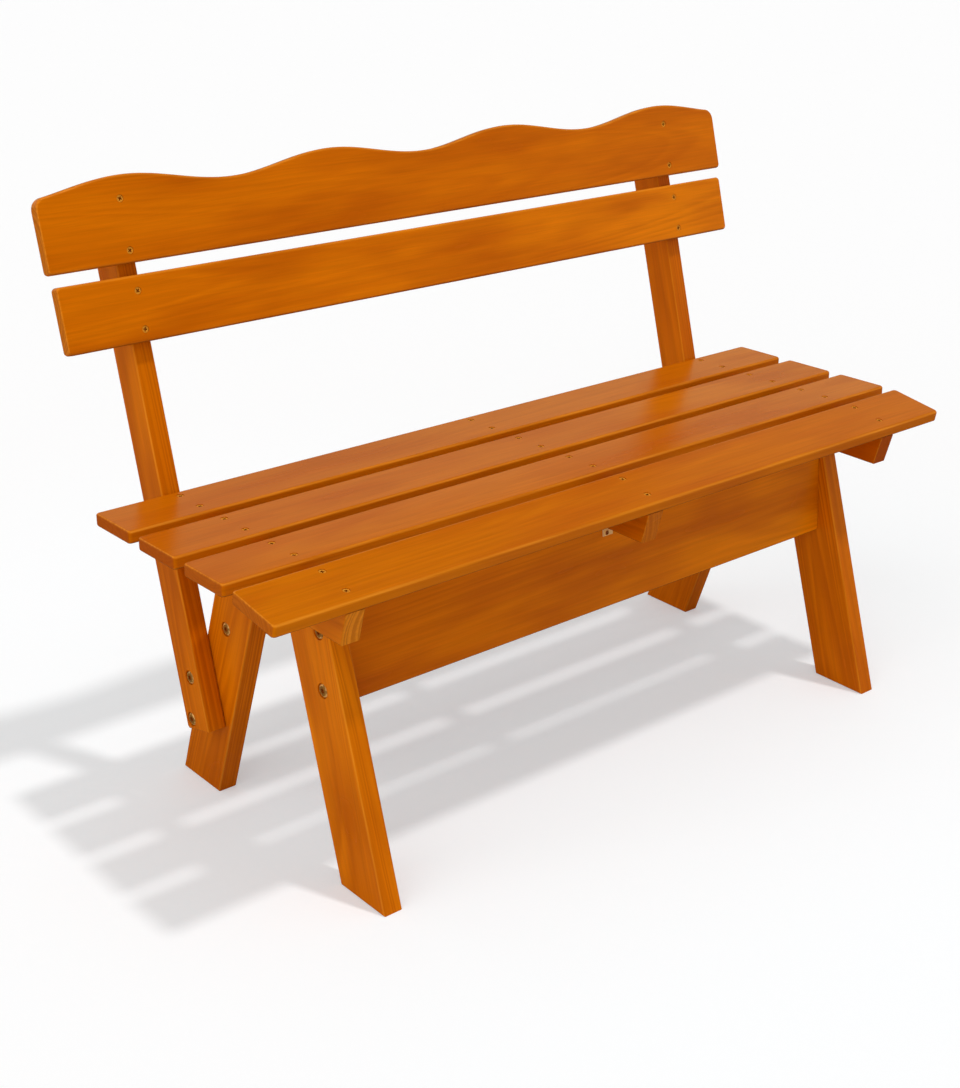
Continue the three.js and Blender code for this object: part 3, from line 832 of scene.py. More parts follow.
def make_board(node, arris, waved=False):
    """Shapes a board, rounds its edges, drills it, marks its grain and puts it in place."""
    board = BOARDS[node]
    wood = bpy.context.scene.bench_wood
    fixings = bpy.context.scene.bench_fixings
    name = f"{node}_board"
    sawn = node in SAWN
    piece = outlined_board(name, board, wood) if sawn else ruled_board(name, board, wood, waved)
    bevel = piece.modifiers.new("Arrises", "BEVEL")
    bevel.limit_method = "WEIGHT"
    bevel.width = arris
    bevel.segments = ARRIS_SEGMENTS
    bevel.use_clamp_overlap = False
    fasteners = [*FASTENERS.values(), *upper_rear_bolts(), *frame_screws(fixings)]
    cutter = hole_cutter(board, fasteners, fixings)
    drill = piece.modifiers.new("Holes", "BOOLEAN")
    drill.operation = "DIFFERENCE"
    drill.solver = "EXACT"
    drill.object = cutter
    mesh = settle(piece)
    bpy.data.meshes.remove(cutter.data)
    mesh.materials.clear()
    mesh.materials.append(pine())
    mesh.polygons.foreach_set("material_index", [0] * len(mesh.polygons))
    smooth(mesh)
    soft = piece.modifiers.new("Face normals", "WEIGHTED_NORMAL")
    soft.keep_sharp = True
    mesh = settle(piece)
    seed = FIRST_SEED + sorted(BOARDS).index(node)
    mark_grain(mesh, board, FRAME_FIGURE if sawn else FACE_FIGURE, seed)
    mesh.transform(board.place)
    mesh.update()
    hand_over(piece, WOOD_SLOT, node)


# Fasteners

FASTENER_SIDES = 32
HEX_SIDES = 6
DOME_TURNS = [share * math.pi / 2 for share in (0, 0.3, 0.55, 0.8, 1)]
# How far up the sloped faces of a head look, which take a painted glint with rubbed plating
SLOPED = (0.1, 0.98)


def fastener_points(name, fasteners):
    """A mesh of bare points, one at each head's top, that holds the two ways each fastener lies."""
    mesh = bpy.data.meshes.new(name)
    mesh.from_pydata([fastener.head for fastener in fasteners], [], [])
    store(mesh, "axis", "FLOAT_VECTOR", "POINT", [fastener.axis for fastener in fasteners])
    store(mesh, "across", "FLOAT_VECTOR", "POINT", [fastener.across for fastener in fasteners])
    return mesh


def fastener_tree():
    """Geometry nodes that set one fastener at each marked point, each turned by its own angle."""
    tree, given = start_tree("Fasteners", (), {
        "Points": "Geometry",
        "Fastener": "Object",
        "Turn": "Float",
        "Seed": "Int",
        "Material": "Material",
    })
    axis, across = (
        add_node(tree, "GeometryNodeInputNamedAttribute", {"Name": label}, data_type="FLOAT_VECTOR")
        for label in ("axis", "across")
    )
    lie = add_node(tree, "FunctionNodeAxesToRotation", (axis, across), primary_axis="Z", secondary_axis="Y")
    spin = add_node(tree, "FunctionNodeRandomValue", {
        "Min": 0.0,
        "Max": given["Turn"],
        "Seed": given["Seed"],
    }, data_type="FLOAT")
    about = add_node(tree, "FunctionNodeAxisAngleToRotation", (UP, spin))
    turned = add_node(tree, "FunctionNodeRotateRotation", (lie, about), rotation_space="LOCAL")
    one = add_node(tree, "GeometryNodeObjectInfo", (given["Fastener"],))
    each = add_node(tree, "GeometryNodeInstanceOnPoints", {
        "Points": given["Points"],
        "Instance": one.outputs["Geometry"],
        "Rotation": turned,
    })
    return end_tree(tree, each, given["Material"])


def mark_head(master, width, depth, top=0.0):
    """Marks a head's faces: its recess, which takes painted shade, and its crown, which takes a painted glint
    with rubbed plating.
    """
    mesh = master.data
    recess = np.zeros(len(mesh.loops))
    rubbed = np.zeros(len(mesh.loops))
    for polygon in mesh.polygons:
        loops = list(polygon.loop_indices)
        inside = polygon.center.xy.length < width / 2
        # The recess takes painted shade and the sloped crown a painted glint
        if inside and -depth - STRAIGHT < polygon.center.z - top < -STRAIGHT:
            recess[loops] = 1
        elif SLOPED[0] < polygon.normal.z < SLOPED[1]:
            rubbed[loops] = 1
    store(mesh, "recess", "FLOAT", "CORNER", recess)
    store(mesh, "rubbed", "FLOAT", "CORNER", rubbed)


def cross_recess(screw, fixings, top=0.0):
    """Cuts a cross recess into a screw's head."""
    reach = fixings.recess_width / 2
    slot = fixings.recess_slot / 2
    cross = []
    for turns in range(4):
        turn = Matrix.Rotation(turns * math.pi / 2, 2)
        cross += [turn @ Vector(point) for point in ((reach, -slot), (reach, slot), (slot, slot))]
    combine(screw, prism_mesh(cross, top - fixings.recess_depth, OVERRUN), "DIFFERENCE")
    mark_head(screw, fixings.recess_width, fixings.recess_depth, top)


def screw_master(fixings, length):
    """A countersunk wood screw that points down, with a cross recess in its head."""
    head = fixings.screw_head / 2
    shank = fixings.screw_shank / 2
    rim = -fixings.screw_rim
    screw = new_object("screw", turned_mesh([
        (0, 0),
        (head, 0),
        (head, rim),
        (shank, rim - head + shank),
        (shank, fixings.screw_tip - length),
        (0, -length),
    ], FASTENER_SIDES))
    cross_recess(screw, fixings)
    return screw


def bolt_master(fixings, length, apron_thickness=None):
    """A connector bolt that points down, with a low crowned head and a hex socket.

    It ends in a cross dowel where it holds an apron, and in a hexagonal nut elsewhere.
    """
    head = fixings.bolt_head / 2
    shank = fixings.bolt_shank / 2
    crown = fixings.crown_width
    drop = fixings.crown_drop
    bolt = new_object("bolt", turned_mesh([
        (0, 0),
        *((head - crown * (1 - math.sin(turn)), drop * (math.cos(turn) - 1)) for turn in DOME_TURNS),
        (head, -fixings.bolt_head_height),
        (shank, -fixings.bolt_head_height),
        (shank, -length),
        (0, -length),
    ], FASTENER_SIDES))
    socket = cylinder_mesh(fixings.socket_width / 2, OVERRUN, -fixings.socket_depth, HEX_SIDES)
    combine(bolt, socket, "DIFFERENCE")
    if apron_thickness:
        start, end = dowel_span(fixings, apron_thickness)
        nut = cross_cylinder(fixings.dowel / 2, start, end, length, fixings, FASTENER_SIDES)
    else:
        low = fixings.proud - length
        nut = cylinder_mesh(fixings.nut_width / 2, low + fixings.nut_height, low, HEX_SIDES)
    combine(bolt, nut, "UNION")
    mark_head(bolt, fixings.socket_width, fixings.socket_depth)
    return bolt


def set_fasteners(name, nodes, places, master, material, slot, seed=1, turn=2 * math.pi):
    """Sets copies of a fastener at its places, as one piece that stands for their frame nodes."""
    tree = bpy.data.node_groups.get("Fasteners") or fastener_tree()
    piece = new_object(name, fastener_points(name, places))
    set_inputs(piece.modifiers.new("Places", "NODES"), tree, {
        "Fastener": master,
        "Turn": turn,
        "Seed": seed,
        "Material": material,
    })
    smooth(settle(piece))
    bpy.data.meshes.remove(master.data)
    hand_over(piece, slot, *nodes)


# Finishes

# Growth rings wander, come in wide and narrow spells, and darken slowly to a line that ends sharply
RING_WIDTH = 6 * MM
RING_WANDER = 9 * MM
DRIFT_LENGTH = 550 * MM
DRIFT_WIDTH = 110 * MM
SPELL_RATE = 0.45
SPELL_SHIFT = 3.0
LINE_START = 0.05
LINE_PEAK = 0.72

# Marks of the wood and the brush, by their lengths along the grain and widths across it
PRESENCE_LENGTH = 400 * MM
PRESENCE_WIDTH = 50 * MM
STREAK_WIDTH = 4 * MM
STREAK_LENGTH = 260 * MM
FIBRE_WIDTH = 1.6 * MM
FIBRE_LENGTH = 90 * MM
CLOUD_WIDTH = 60 * MM
CLOUD_LENGTH = 260 * MM
RIPPLE_WIDTH = 5 * MM
RIPPLE_LENGTH = 30 * MM
NOISE_ROUGHNESS = 0.55
NOISE_MIDDLE = (0.5, 0.5, 0.5)

# Each range is the lowest and highest value of a noise or a direction, and the shares that they become
LINE_STRENGTH = (0.3, 0.7, 0.25, 0.8)
BLOTCH_SHARE = (0.42, 0.7, 0.0, 0.7)
END_SHARE = (0.6, 0.9)
WORN_HIGHLIGHT_SHARE = (0.3, 0.7, 0.15, 0.6)
STREAK_SHADE = (0.25, 0.75, 0.92, 1.07)
FIBRE_SHADE = (0.25, 0.75, 0.95, 1.04)
GLOSS = (0.3, 0.7, 0.2, 0.28)
PATCHES = (0.42, 0.58)

# Relief and gleam of the varnish, the zinc and the stained screws
LINE_RELIEF = 0.5
BUMP_HEIGHT = 0.1 * MM
VARNISH_BUMP = 0.2
VARNISH_IOR = 1.45
ZINC_BUMP = 0.3
ZINC_ROUGHNESS = (-0.1, 0.15)
STAIN_SPOT = 3 * MM
STAIN_DARK = 0.6
STAINED_ROUGHNESS = 0.6
STAINED_GLEAM = 0.15

BLACK = (0, 0, 0, 1)
WHITE = (1, 1, 1, 1)
# Where a mix takes its share and its two colours
MIX_SOCKETS = (0, 6, 7)


def opaque(colour):
    return (*colour, 1)


def new_material(name):
    """An empty material and its tree."""
    material = bpy.data.materials.new(name)
    material.use_nodes = True
    material.node_tree.nodes.clear()
    return material, material.node_tree


def lay_over(tree, ground, layers, blend="MIX"):
    """Lays colours over another one in turn, each by its share."""
    for share, colour in layers:
        inputs = dict(zip(MIX_SOCKETS, (share, ground, colour)))
        ground = add_node(tree, MIX, inputs, data_type="RGBA", blend_type=blend)
    return ground


def grain_noise(tree, grain, length, width, detail):
    """Noise that is drawn out along the grain, of a real length and width."""
    scale = (1 / length, 1 / width, 1 / width)
    drawn = add_node(tree, "ShaderNodeMapping", {"Vector": grain, "Scale": scale})
    return add_node(tree, NOISE, {
        "Vector": drawn,
        "Scale": 1.0,
        "Detail": detail,
        "Roughness": NOISE_ROUGHNESS,
    })


def stained_pine(name, colours):
    """Sawn spruce or pine, stained honey orange and brushed with a satin varnish.

    The eye sees growth lines that run straight on the sides and spread into tongues on the faces, fine
    streaks, cloudy stain, paler sawn ends, thin stain with a painted highlight on the arrises, painted shade
    on the arrises that look down, a redder tone painted as shade on all boards but the slats, and a soft
    gleam.
    """
    material, tree = new_material(name)
    grain, facing, plank = (
        add_node(tree, ATTRIBUTE, attribute_name=label).outputs["Vector"]
        for label in ("grain", "facing", "plank")
    )
    facing, plank = (add_node(tree, SEPARATE, (stored,)).outputs for stored in (facing, plank))

    # Growth rings about the pith, which wander along the log
    drift = grain_noise(tree, grain, DRIFT_LENGTH, DRIFT_WIDTH, detail=1.0).outputs["Color"]
    drift = add_node(tree, VECTOR_MATH, (drift, NOISE_MIDDLE), operation="SUBTRACT")
    wander = (0, RING_WANDER * 2, RING_WANDER * 2)
    drift = add_node(tree, VECTOR_MATH, (drift, wander), operation="MULTIPLY")
    bent = add_node(tree, VECTOR_MATH, (grain, drift), operation="ADD")
    bent = add_node(tree, VECTOR_MATH, (bent, (0, 1, 1)), operation="MULTIPLY")
    radius = add_node(tree, VECTOR_MATH, (bent,), operation="LENGTH")
    years = add_node(tree, MATH, (radius, 1 / RING_WIDTH), operation="MULTIPLY")
    spells = add_node(tree, NOISE, {"W": years, "Scale": SPELL_RATE, "Detail": 1.0}, noise_dimensions="1D")
    shift = add_node(tree, MATH, (spells, SPELL_SHIFT), operation="MULTIPLY")
    years = add_node(tree, MATH, (years, shift), operation="ADD")
    line = add_node(tree, "ShaderNodeValToRGB", (add_node(tree, MATH, (years,), operation="FRACT"),))
    ramp = line.color_ramp
    ramp.interpolation = "EASE"
    ramp.elements[0].position = LINE_START
    ramp.elements[0].color = BLACK
    ramp.elements[1].position = LINE_PEAK
    ramp.elements[1].color = WHITE
    ramp.elements.new(1).color = BLACK

    # How strongly each board shows its lines changes along it
    presence = grain_noise(tree, grain, PRESENCE_LENGTH, PRESENCE_WIDTH, detail=1.0)
    strength = add_node(tree, MAP_RANGE, (presence, *LINE_STRENGTH))
    lines = add_node(tree, MATH, (line, strength), operation="MULTIPLY")
    lines = add_node(tree, MATH, (lines, plank["Y"]), operation="MULTIPLY")

    # The sawn ends, and then the stain with what lies over it
    streak = grain_noise(tree, grain, STREAK_LENGTH, STREAK_WIDTH, detail=3.0)
    fibre = grain_noise(tree, grain, FIBRE_LENGTH, FIBRE_WIDTH, detail=2.0)
    cloud = grain_noise(tree, grain, CLOUD_LENGTH, CLOUD_WIDTH, detail=2.0)
    late_wood = opaque(colours.late_wood)
    ends = lay_over(tree, opaque(colours.end_light), (
        (line, opaque(colours.end_dark)),
        (plank["X"], late_wood),
    ))
    worn_highlight = add_node(tree, MAP_RANGE, (streak, *WORN_HIGHLIGHT_SHARE))
    stain = lay_over(tree, opaque(colours.thin_stain), ((plank["X"], opaque(colours.thick_stain)),))
    # Painted shade: every board but the slats is reddened, as less lit faces look
    stain = lay_over(tree, stain, ((plank["Z"], opaque(colours.shade_reddening)),), "MULTIPLY")
    wood = lay_over(tree, stain, (
        (lines, late_wood),
        (add_node(tree, MAP_RANGE, (cloud, *BLOTCH_SHARE)), opaque(colours.blotch)),
        (add_node(tree, MAP_RANGE, (facing["Y"], *END_SHARE)), ends),
        # Partly painted highlight on the arrises, with stain rubbed thin
        (add_node(tree, MATH, (facing["X"], worn_highlight), operation="MULTIPLY"), opaque(colours.worn_arris_highlight)),
        # Painted shade along the arrises that look down
        (facing["Z"], opaque(colours.pooled_stain_and_arris_shade)),
    ))
    coarse = add_node(tree, MAP_RANGE, (streak, *STREAK_SHADE))
    fine = add_node(tree, MAP_RANGE, (fibre, *FIBRE_SHADE))
    shade = add_node(tree, MATH, (coarse, fine), operation="MULTIPLY")
    toned = add_node(tree, VECTOR_MATH, {0: wood, "Scale": shade}, operation="SCALE")

    # A brushed varnish that sinks a little over the soft wood
    ripple = grain_noise(tree, grain, RIPPLE_LENGTH, RIPPLE_WIDTH, detail=1.0)
    raised = add_node(tree, MATH, (line, LINE_RELIEF), operation="MULTIPLY")
    raised = add_node(tree, MATH, (fibre, raised), operation="ADD")
    raised = add_node(tree, MATH, (ripple, raised), operation="ADD")
    shader = add_node(tree, "ShaderNodeBsdfPrincipled", {
        "Base Color": toned,
        "Roughness": add_node(tree, MAP_RANGE, (cloud, *GLOSS)),
        "Normal": add_node(tree, "ShaderNodeBump", {
            "Height": raised,
            "Strength": VARNISH_BUMP,
            "Distance": BUMP_HEIGHT,
        }),
        "IOR": VARNISH_IOR,
        "Specular Tint": opaque(colours.gleam),
    })
    add_node(tree, "ShaderNodeOutputMaterial", (shader,))
    return material


def plated_steel(name, colours, plating, film, roughness, grit, dull):
    """Zinc plated steel from a rolled or turned blank.

    The eye sees a soft metal gleam, cloudy passivation, crowns lightened in patches by a painted glint
    with rubbed plating, and painted shade in the recesses. film is how far the passivation hides the metal,
    grit the size of its clouds, and dull how light their dark parts are.
    """
    material, tree = new_material(name)
    colour = getattr(colours, plating)
    place = add_node(tree, "ShaderNodeTexCoord").outputs["Object"]
    cloud = add_node(tree, NOISE, {"Vector": place, "Scale": 1 / grit, "Detail": 3.0})
    rubbed = add_node(tree, ATTRIBUTE, attribute_name="rubbed").outputs["Fac"]
    patches = add_node(tree, MAP_RANGE, (cloud, *PATCHES))
    surface = lay_over(tree, opaque(colour), (
        (cloud, opaque(channel * dull for channel in colour)),
        # Partly painted glint on the crowns, with plating rubbed bright
        (add_node(tree, MATH, (rubbed, patches), operation="MULTIPLY"), opaque(colours.rubbed)),
        # Painted shade in the recesses
        (add_node(tree, ATTRIBUTE, attribute_name="recess").outputs["Fac"], opaque(colours.recess)),
    ))
    levels = {"To Min": roughness + ZINC_ROUGHNESS[0], "To Max": roughness + ZINC_ROUGHNESS[1]}
    shader = add_node(tree, "ShaderNodeBsdfPrincipled", {
        "Base Color": surface,
        "Metallic": 1 - film,
        "Roughness": add_node(tree, MAP_RANGE, {"Value": cloud, **levels}),
        "Normal": add_node(tree, "ShaderNodeBump", {
            "Height": cloud,
            "Strength": ZINC_BUMP,
            "Distance": BUMP_HEIGHT,
        }),
    })
    add_node(tree, "ShaderNodeOutputMaterial", (shader,))
    return material


def stained_steel(name, colours):
    """A plated screw head that was brushed over with the stain and varnish.

    The eye sees a warm ring with a dull gleam, round a recess darkened by painted shade and the stain.
    """
    material, tree = new_material(name)
    place = add_node(tree, "ShaderNodeTexCoord").outputs["Object"]
    pooled_stain_and_arris_shade = add_node(tree, NOISE, {"Vector": place, "Scale": 1 / STAIN_SPOT, "Detail": 2.0})
    surface = lay_over(tree, opaque(colours.stained_screw), (
        (pooled_stain_and_arris_shade, opaque(channel * STAIN_DARK for channel in colours.stained_screw)),
        # Painted shade in the recess, with stain
        (add_node(tree, ATTRIBUTE, attribute_name="recess").outputs["Fac"], opaque(colours.recess)),
    ))
    shader = add_node(tree, "ShaderNodeBsdfPrincipled", {
        "Base Color": surface,
        "Roughness": STAINED_ROUGHNESS,
        "Specular IOR Level": STAINED_GLEAM,
        "Specular Tint": opaque(colours.gleam),
    })
    add_node(tree, "ShaderNodeOutputMaterial", (shader,))
    return material


def shared_material(name, maker, **details):
    """A material of the bench, which its first use makes."""
    return bpy.data.materials.get(name) or maker(name, bpy.context.scene.bench_colours, **details)


def pine():
    return shared_material("Varnished pine, honey stain", stained_pine)


def stained_screw():
    return shared_material("Screw head under stain", stained_steel)


def yellow_zinc():
    finish = {"plating": "yellow_zinc", "film": 0.75, "roughness": 0.3, "grit": 4 * MM, "dull": 0.5}
    return shared_material("Zinc plated steel, yellow", plated_steel, **finish)


def bright_zinc():
    finish = {"plating": "bright_zinc", "film": 0.85, "roughness": 0.35, "grit": 5 * MM, "dull": 0.8}
    return shared_material("Zinc plated steel, bright", plated_steel, **finish)


# The bench, made piece by piece


class BENCH_OT_seat_slats(bpy.types.Operator):
    """Makes the four seat slats"""

    bl_idname = "bench.seat_slats"
    bl_label = "Seat slats"

    def execute(self, context):
        for node in SEAT_SLATS:
            make_board(node, context.scene.bench_wood.long_arris)
        return {"FINISHED"}


class BENCH_OT_back_boards(bpy.types.Operator):
    """Makes the straight and the wavy back board"""

    bl_idname = "bench.back_boards"
    bl_label = "Back boards"

    def execute(self, context):
        for node in BACK_BOARDS:
            make_board(node, context.scene.bench_wood.long_arris, waved=node == "back_board_upper")
        return {"FINISHED"}


class BENCH_OT_aprons(bpy.types.Operator):
    """Makes the long boards between the legs"""

    bl_idname = "bench.aprons"
    bl_label = "Aprons"

    def execute(self, context):
        for node in APRONS:
            make_board(node, context.scene.bench_wood.frame_arris)
        return {"FINISHED"}


class BENCH_OT_sawn_frames(bpy.types.Operator):
    """Makes the legs, uprights and seat bearers"""

    bl_idname = "bench.sawn_frames"
    bl_label = "Legs, uprights and bearers"

    def execute(self, context):
        for node in SAWN:
            make_board(node, context.scene.bench_wood.frame_arris)
        return {"FINISHED"}


class BENCH_OT_screws(bpy.types.Operator):
    """Sets the countersunk screws of the seat, the back and the end bearers"""

    bl_idname = "bench.screws"
    bl_label = "Screws"

    def execute(self, context):
        fixings = context.scene.bench_fixings
        back = {side: [node for node in BACK_SCREWS if f"_{side}_" in node] for side in SIDES}
        for name, nodes, seed in (
            ("seat_screws", SEAT_SCREWS, 3),
            ("back_screws_left", back["left"], 4),
            ("back_screws_right", back["right"], 5),
        ):
            master = screw_master(fixings, fixings.screw_length)
            places = [FASTENERS[node] for node in nodes]
            set_fasteners(name, nodes, places, master, stained_screw(), BRASS_SLOT, seed=seed)
        master = screw_master(fixings, fixings.frame_screw_length)
        places = frame_screws(fixings)
        set_fasteners("frame_screws", [], places, master, yellow_zinc(), BRASS_SLOT, seed=8)
        return {"FINISHED"}


class BENCH_OT_bolts(bpy.types.Operator):
    """Sets the connector bolts of the aprons and uprights"""

    bl_idname = "bench.bolts"
    bl_label = "Bolts"

    def execute(self, context):
        fixings = context.scene.bench_fixings
        places = [*(FASTENERS[node] for node in APRON_BOLTS), *upper_rear_bolts()]
        master = bolt_master(fixings, places[0].length, BOARDS["apron_front"].size.z)
        set_fasteners("apron_bolts", APRON_BOLTS, places, master, yellow_zinc(), BRASS_SLOT, turn=0.0)
        places = [FASTENERS[node] for node in UPRIGHT_BOLTS]
        master = bolt_master(fixings, places[0].length)
        set_fasteners("upright_bolts", UPRIGHT_BOLTS, places, master, yellow_zinc(), BRASS_SLOT, seed=7)
        return {"FINISHED"}


BEND_STEPS = 6
BRACKET_EASE = 0.4 * MM
EASE_SEGMENTS = 2
EASED_ANGLE = math.radians(60)
ROUND_SIDES = 24
# Where the bracket's screws sit along its wings, and how high their heads are domed
WING_SHARE = 0.72
DOME_SHARE = 0.45
# Lays a section that is drawn in depth and height, and raised along Z, along the bench
LAID_ALONG = Matrix(((0, 0, 1, 0), (1, 0, 0, 0), (0, 1, 0, 0), (0, 0, 0, 1)))


def bend_points(corner, start, end, radius):
    """Points of a round bend at a corner, between the ways to its two neighbours."""
    into = (start - corner).normalized()
    out = (end - corner).normalized()
    half = into.angle(out) / 2
    reach = radius / math.tan(half)
    middle = corner + (into + out).normalized() * (radius / math.sin(half))
    first = corner + into * reach - middle
    last = corner + out * reach - middle
    turn = first.angle_signed(last)
    turns = [-turn * step / BEND_STEPS for step in range(BEND_STEPS + 1)]
    return [middle + Matrix.Rotation(angle, 2) @ first for angle in turns]


def make_bracket(fixings):
    """A bent strip of steel in the corner of the front apron and the middle bearer, with two screws."""
    apron = BOARDS["apron_front"]
    low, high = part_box("bearer_bracket")
    face = apron.axes.col[2]
    down = -apron.axes.col[1]
    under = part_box("seat_bearer_middle")[0].z - fixings.fit
    on_face = apron.place @ Vector((0, 0, apron.size.z / 2 + fixings.fit))
    corner = on_face + down * ((under - on_face.z) / down.z)
    root, drop, out, lift, up = [Vector((way.y, way.z)) for way in (corner, down, FRONT, face, UP)]
    wing = fixings.bracket_wing
    plate = fixings.bracket_thickness
    inner = root + out * plate / -face.y - up * plate
    tips = [root + drop * wing, root + out * wing]
    inner_tips = [tips[0] + lift * plate, tips[1] - up * plate]
    inner_bend = max(fixings.bracket_bend - plate, BRACKET_EASE)
    section = bend_points(root, tips[0], tips[1], fixings.bracket_bend)
    section += [tips[1], inner_tips[1]]
    section += bend_points(inner, inner_tips[1], inner_tips[0], inner_bend)
    section += [inner_tips[0], tips[0]]
    mesh = prism_mesh(section, high.x - fixings.bracket_width, high.x)
    mesh.transform(LAID_ALONG)
    mesh.materials.append(bright_zinc())
    bracket = new_object("bearer_bracket_plate", mesh)

    middle = (high.x + low.x) / 2
    reach = wing * WING_SHARE
    on_apron = Vector((middle, *(root + drop * reach + lift * plate)))
    on_bearer = Vector((middle, *(root + out * reach - up * plate)))
    length = fixings.bracket_screw_length
    screws = [Fastener(on_apron, face, length, "pan"), Fastener(on_bearer, -UP, length, "pan", FRONT)]
    for screw in screws:
        drill = cylinder_mesh(fixings.bracket_hole / 2, OVERRUN, -OVERRUN, ROUND_SIDES)
        drill.transform(screw.place())
        combine(bracket, drill, "DIFFERENCE")
    ease = bracket.modifiers.new("Eased edges", "BEVEL")
    ease.width = BRACKET_EASE
    ease.segments = EASE_SEGMENTS
    ease.angle_limit = EASED_ANGLE
    smooth(settle(bracket))
    hand_over(bracket, STEEL_SLOT, "bearer_bracket")

    head = fixings.bracket_screw / 2
    shank = fixings.bracket_hole / 2 - fixings.fit * 2
    top = head * DOME_SHARE
    pan = new_object("pan", turned_mesh([
        *((head * math.sin(turn), top * math.cos(turn)) for turn in DOME_TURNS),
        (shank, 0),
        (shank, fixings.screw_tip - length),
        (0, -length),
    ], ROUND_SIDES))
    cross_recess(pan, fixings, top)
    set_fasteners("bracket_screws", [], screws, pan, bright_zinc(), STEEL_SLOT, seed=9)


class BENCH_OT_bracket(bpy.types.Operator):
    """Makes the angle bracket under the middle bearer, and its screws"""

    bl_idname = "bench.bracket"
    bl_label = "Bracket"

    def execute(self, context):
        make_bracket(context.scene.bench_fixings)
        return {"FINISHED"}


# The studio, with the camera where the photograph's stood

CAMERA_PLACE = Vector((-1.5453, -1.7036, 1.2520))
CAMERA_YAW = math.radians(40.77)
CAMERA_PITCH = math.radians(-21.60)
CAMERA_ROLL = math.radians(1.19)
IMAGE_LONG_SIDE = 1088
FOCAL_PIXELS = 1740
SHIFT_PIXELS = 50
SENSOR = 36
CLIP_END = 500

# Heights of a ray's end, as the sine of its angle, between which the backdrop fades into the ceiling
BACKDROP_TOP = 0.45
CEILING_START = 0.57

FLOOR_DROP = 0.2 * MM
LIFT_INNER = 0.3
LIFT_OUTER = 1.6
COOL_LIFT = (0.022, 0.05, 0.06)

KEY_PLACE = Vector((0.22, -0.25, 1))
KEY_SPREAD = math.radians(4.4)
FILL_PLACE = Vector((-0.9, -0.18, 0.5))
FILL_SPREAD = math.radians(70)


def add_camera():
    forward = Vector((
        math.sin(CAMERA_YAW) * math.cos(CAMERA_PITCH),
        math.cos(CAMERA_YAW) * math.cos(CAMERA_PITCH),
        math.sin(CAMERA_PITCH),
    ))
    level = Vector((math.cos(CAMERA_YAW), -math.sin(CAMERA_YAW), 0))
    upward = level.cross(forward)
    right = math.cos(CAMERA_ROLL) * level + math.sin(CAMERA_ROLL) * upward
    top = math.cos(CAMERA_ROLL) * upward - math.sin(CAMERA_ROLL) * level
    turn = Matrix((right, top, -forward)).transposed().to_4x4()
    lens = bpy.data.cameras.new("Camera")
    lens.sensor_width = SENSOR
    lens.lens = FOCAL_PIXELS * SENSOR / IMAGE_LONG_SIDE
    lens.shift_y = -SHIFT_PIXELS / IMAGE_LONG_SIDE
    lens.clip_end = CLIP_END
    camera = new_object("Camera", lens)
    camera.matrix_world = Matrix.Translation(CAMERA_PLACE) @ turn
    bpy.context.scene.camera = camera


def shown_rays(tree):
    """Sockets that are 1 for rays that see the studio straight, and for those that see it in a gleam."""
    path = add_node(tree, "ShaderNodeLightPath").outputs
    gleam = add_node(tree, MATH, (path["Is Glossy Ray"], path["Is Transmission Ray"]), operation="MAXIMUM")
    return path["Is Camera Ray"], gleam


def grey(level):
    return (level, level, level, 1)


def make_world(studio, colours):
    world = bpy.data.worlds.new("Studio")
    bpy.context.scene.world = world
    world.use_nodes = True
    tree = world.node_tree
    tree.nodes.clear()
    camera_ray, gleam_ray = shown_rays(tree)
    way = add_node(tree, "ShaderNodeTexCoord").outputs["Generated"]
    height = add_node(tree, SEPARATE, (way,)).outputs["Z"]
    fade = (height, BACKDROP_TOP, CEILING_START, studio.mirrored, studio.ceiling)
    level = add_node(tree, MAP_RANGE, fade)
    mirrored = add_node(tree, VECTOR_MATH, {0: colours.warm_white, "Scale": level}, operation="SCALE")
    layers = ((gleam_ray, mirrored), (camera_ray, grey(studio.backdrop)))
    sky = add_node(tree, "ShaderNodeBackground", (lay_over(tree, grey(studio.ambient), layers),))
    add_node(tree, "ShaderNodeOutputWorld", (sky,))


def floor_paint(studio, colours):
    """Painted plywood or paper, which the camera sees as white where no shadow falls."""
    material, tree = new_material("Painted studio floor")
    camera_ray, gleam_ray = shown_rays(tree)
    plain = lay_over(tree, opaque(colours.floor), ((gleam_ray, grey(studio.mirrored_floor)),))
    plain = add_node(tree, "ShaderNodeBsdfDiffuse", (plain,))
    paint = add_node(tree, "ShaderNodeBsdfDiffuse", (grey(studio.backdrop * (1 - studio.floor_lit)),))

    # A cool lift round the bench balances the warm light that the wood throws on the floor
    place = add_node(tree, "ShaderNodeTexCoord").outputs["Object"]
    away = add_node(tree, VECTOR_MATH, (place,), operation="LENGTH")
    fade = (away, LIFT_INNER, LIFT_OUTER, 1.0, 0.0)
    near = add_node(tree, MAP_RANGE, fade, interpolation_type="SMOOTHSTEP")
    level = studio.backdrop * studio.floor_lit
    cool = opaque(level + lift for lift in COOL_LIFT)
    tone = lay_over(tree, grey(level), ((near, cool),))
    glow = add_node(tree, "ShaderNodeEmission", (tone,))
    seen = add_node(tree, "ShaderNodeAddShader", (paint, glow))
    both = add_node(tree, "ShaderNodeMixShader", (camera_ray, plain, seen))
    add_node(tree, "ShaderNodeOutputMaterial", (both,))
    return material


def make_floor(studio, colours):
    half = studio.floor_side / 2
    corners = [(-half, -half), (half, -half), (half, half), (-half, half)]
    mesh = bpy.data.meshes.new("floor")
    mesh.from_pydata([(*corner, -FLOOR_DROP) for corner in corners], [], [range(len(corners))])
    mesh.materials.append(floor_paint(studio, colours))
    new_object("floor", mesh)


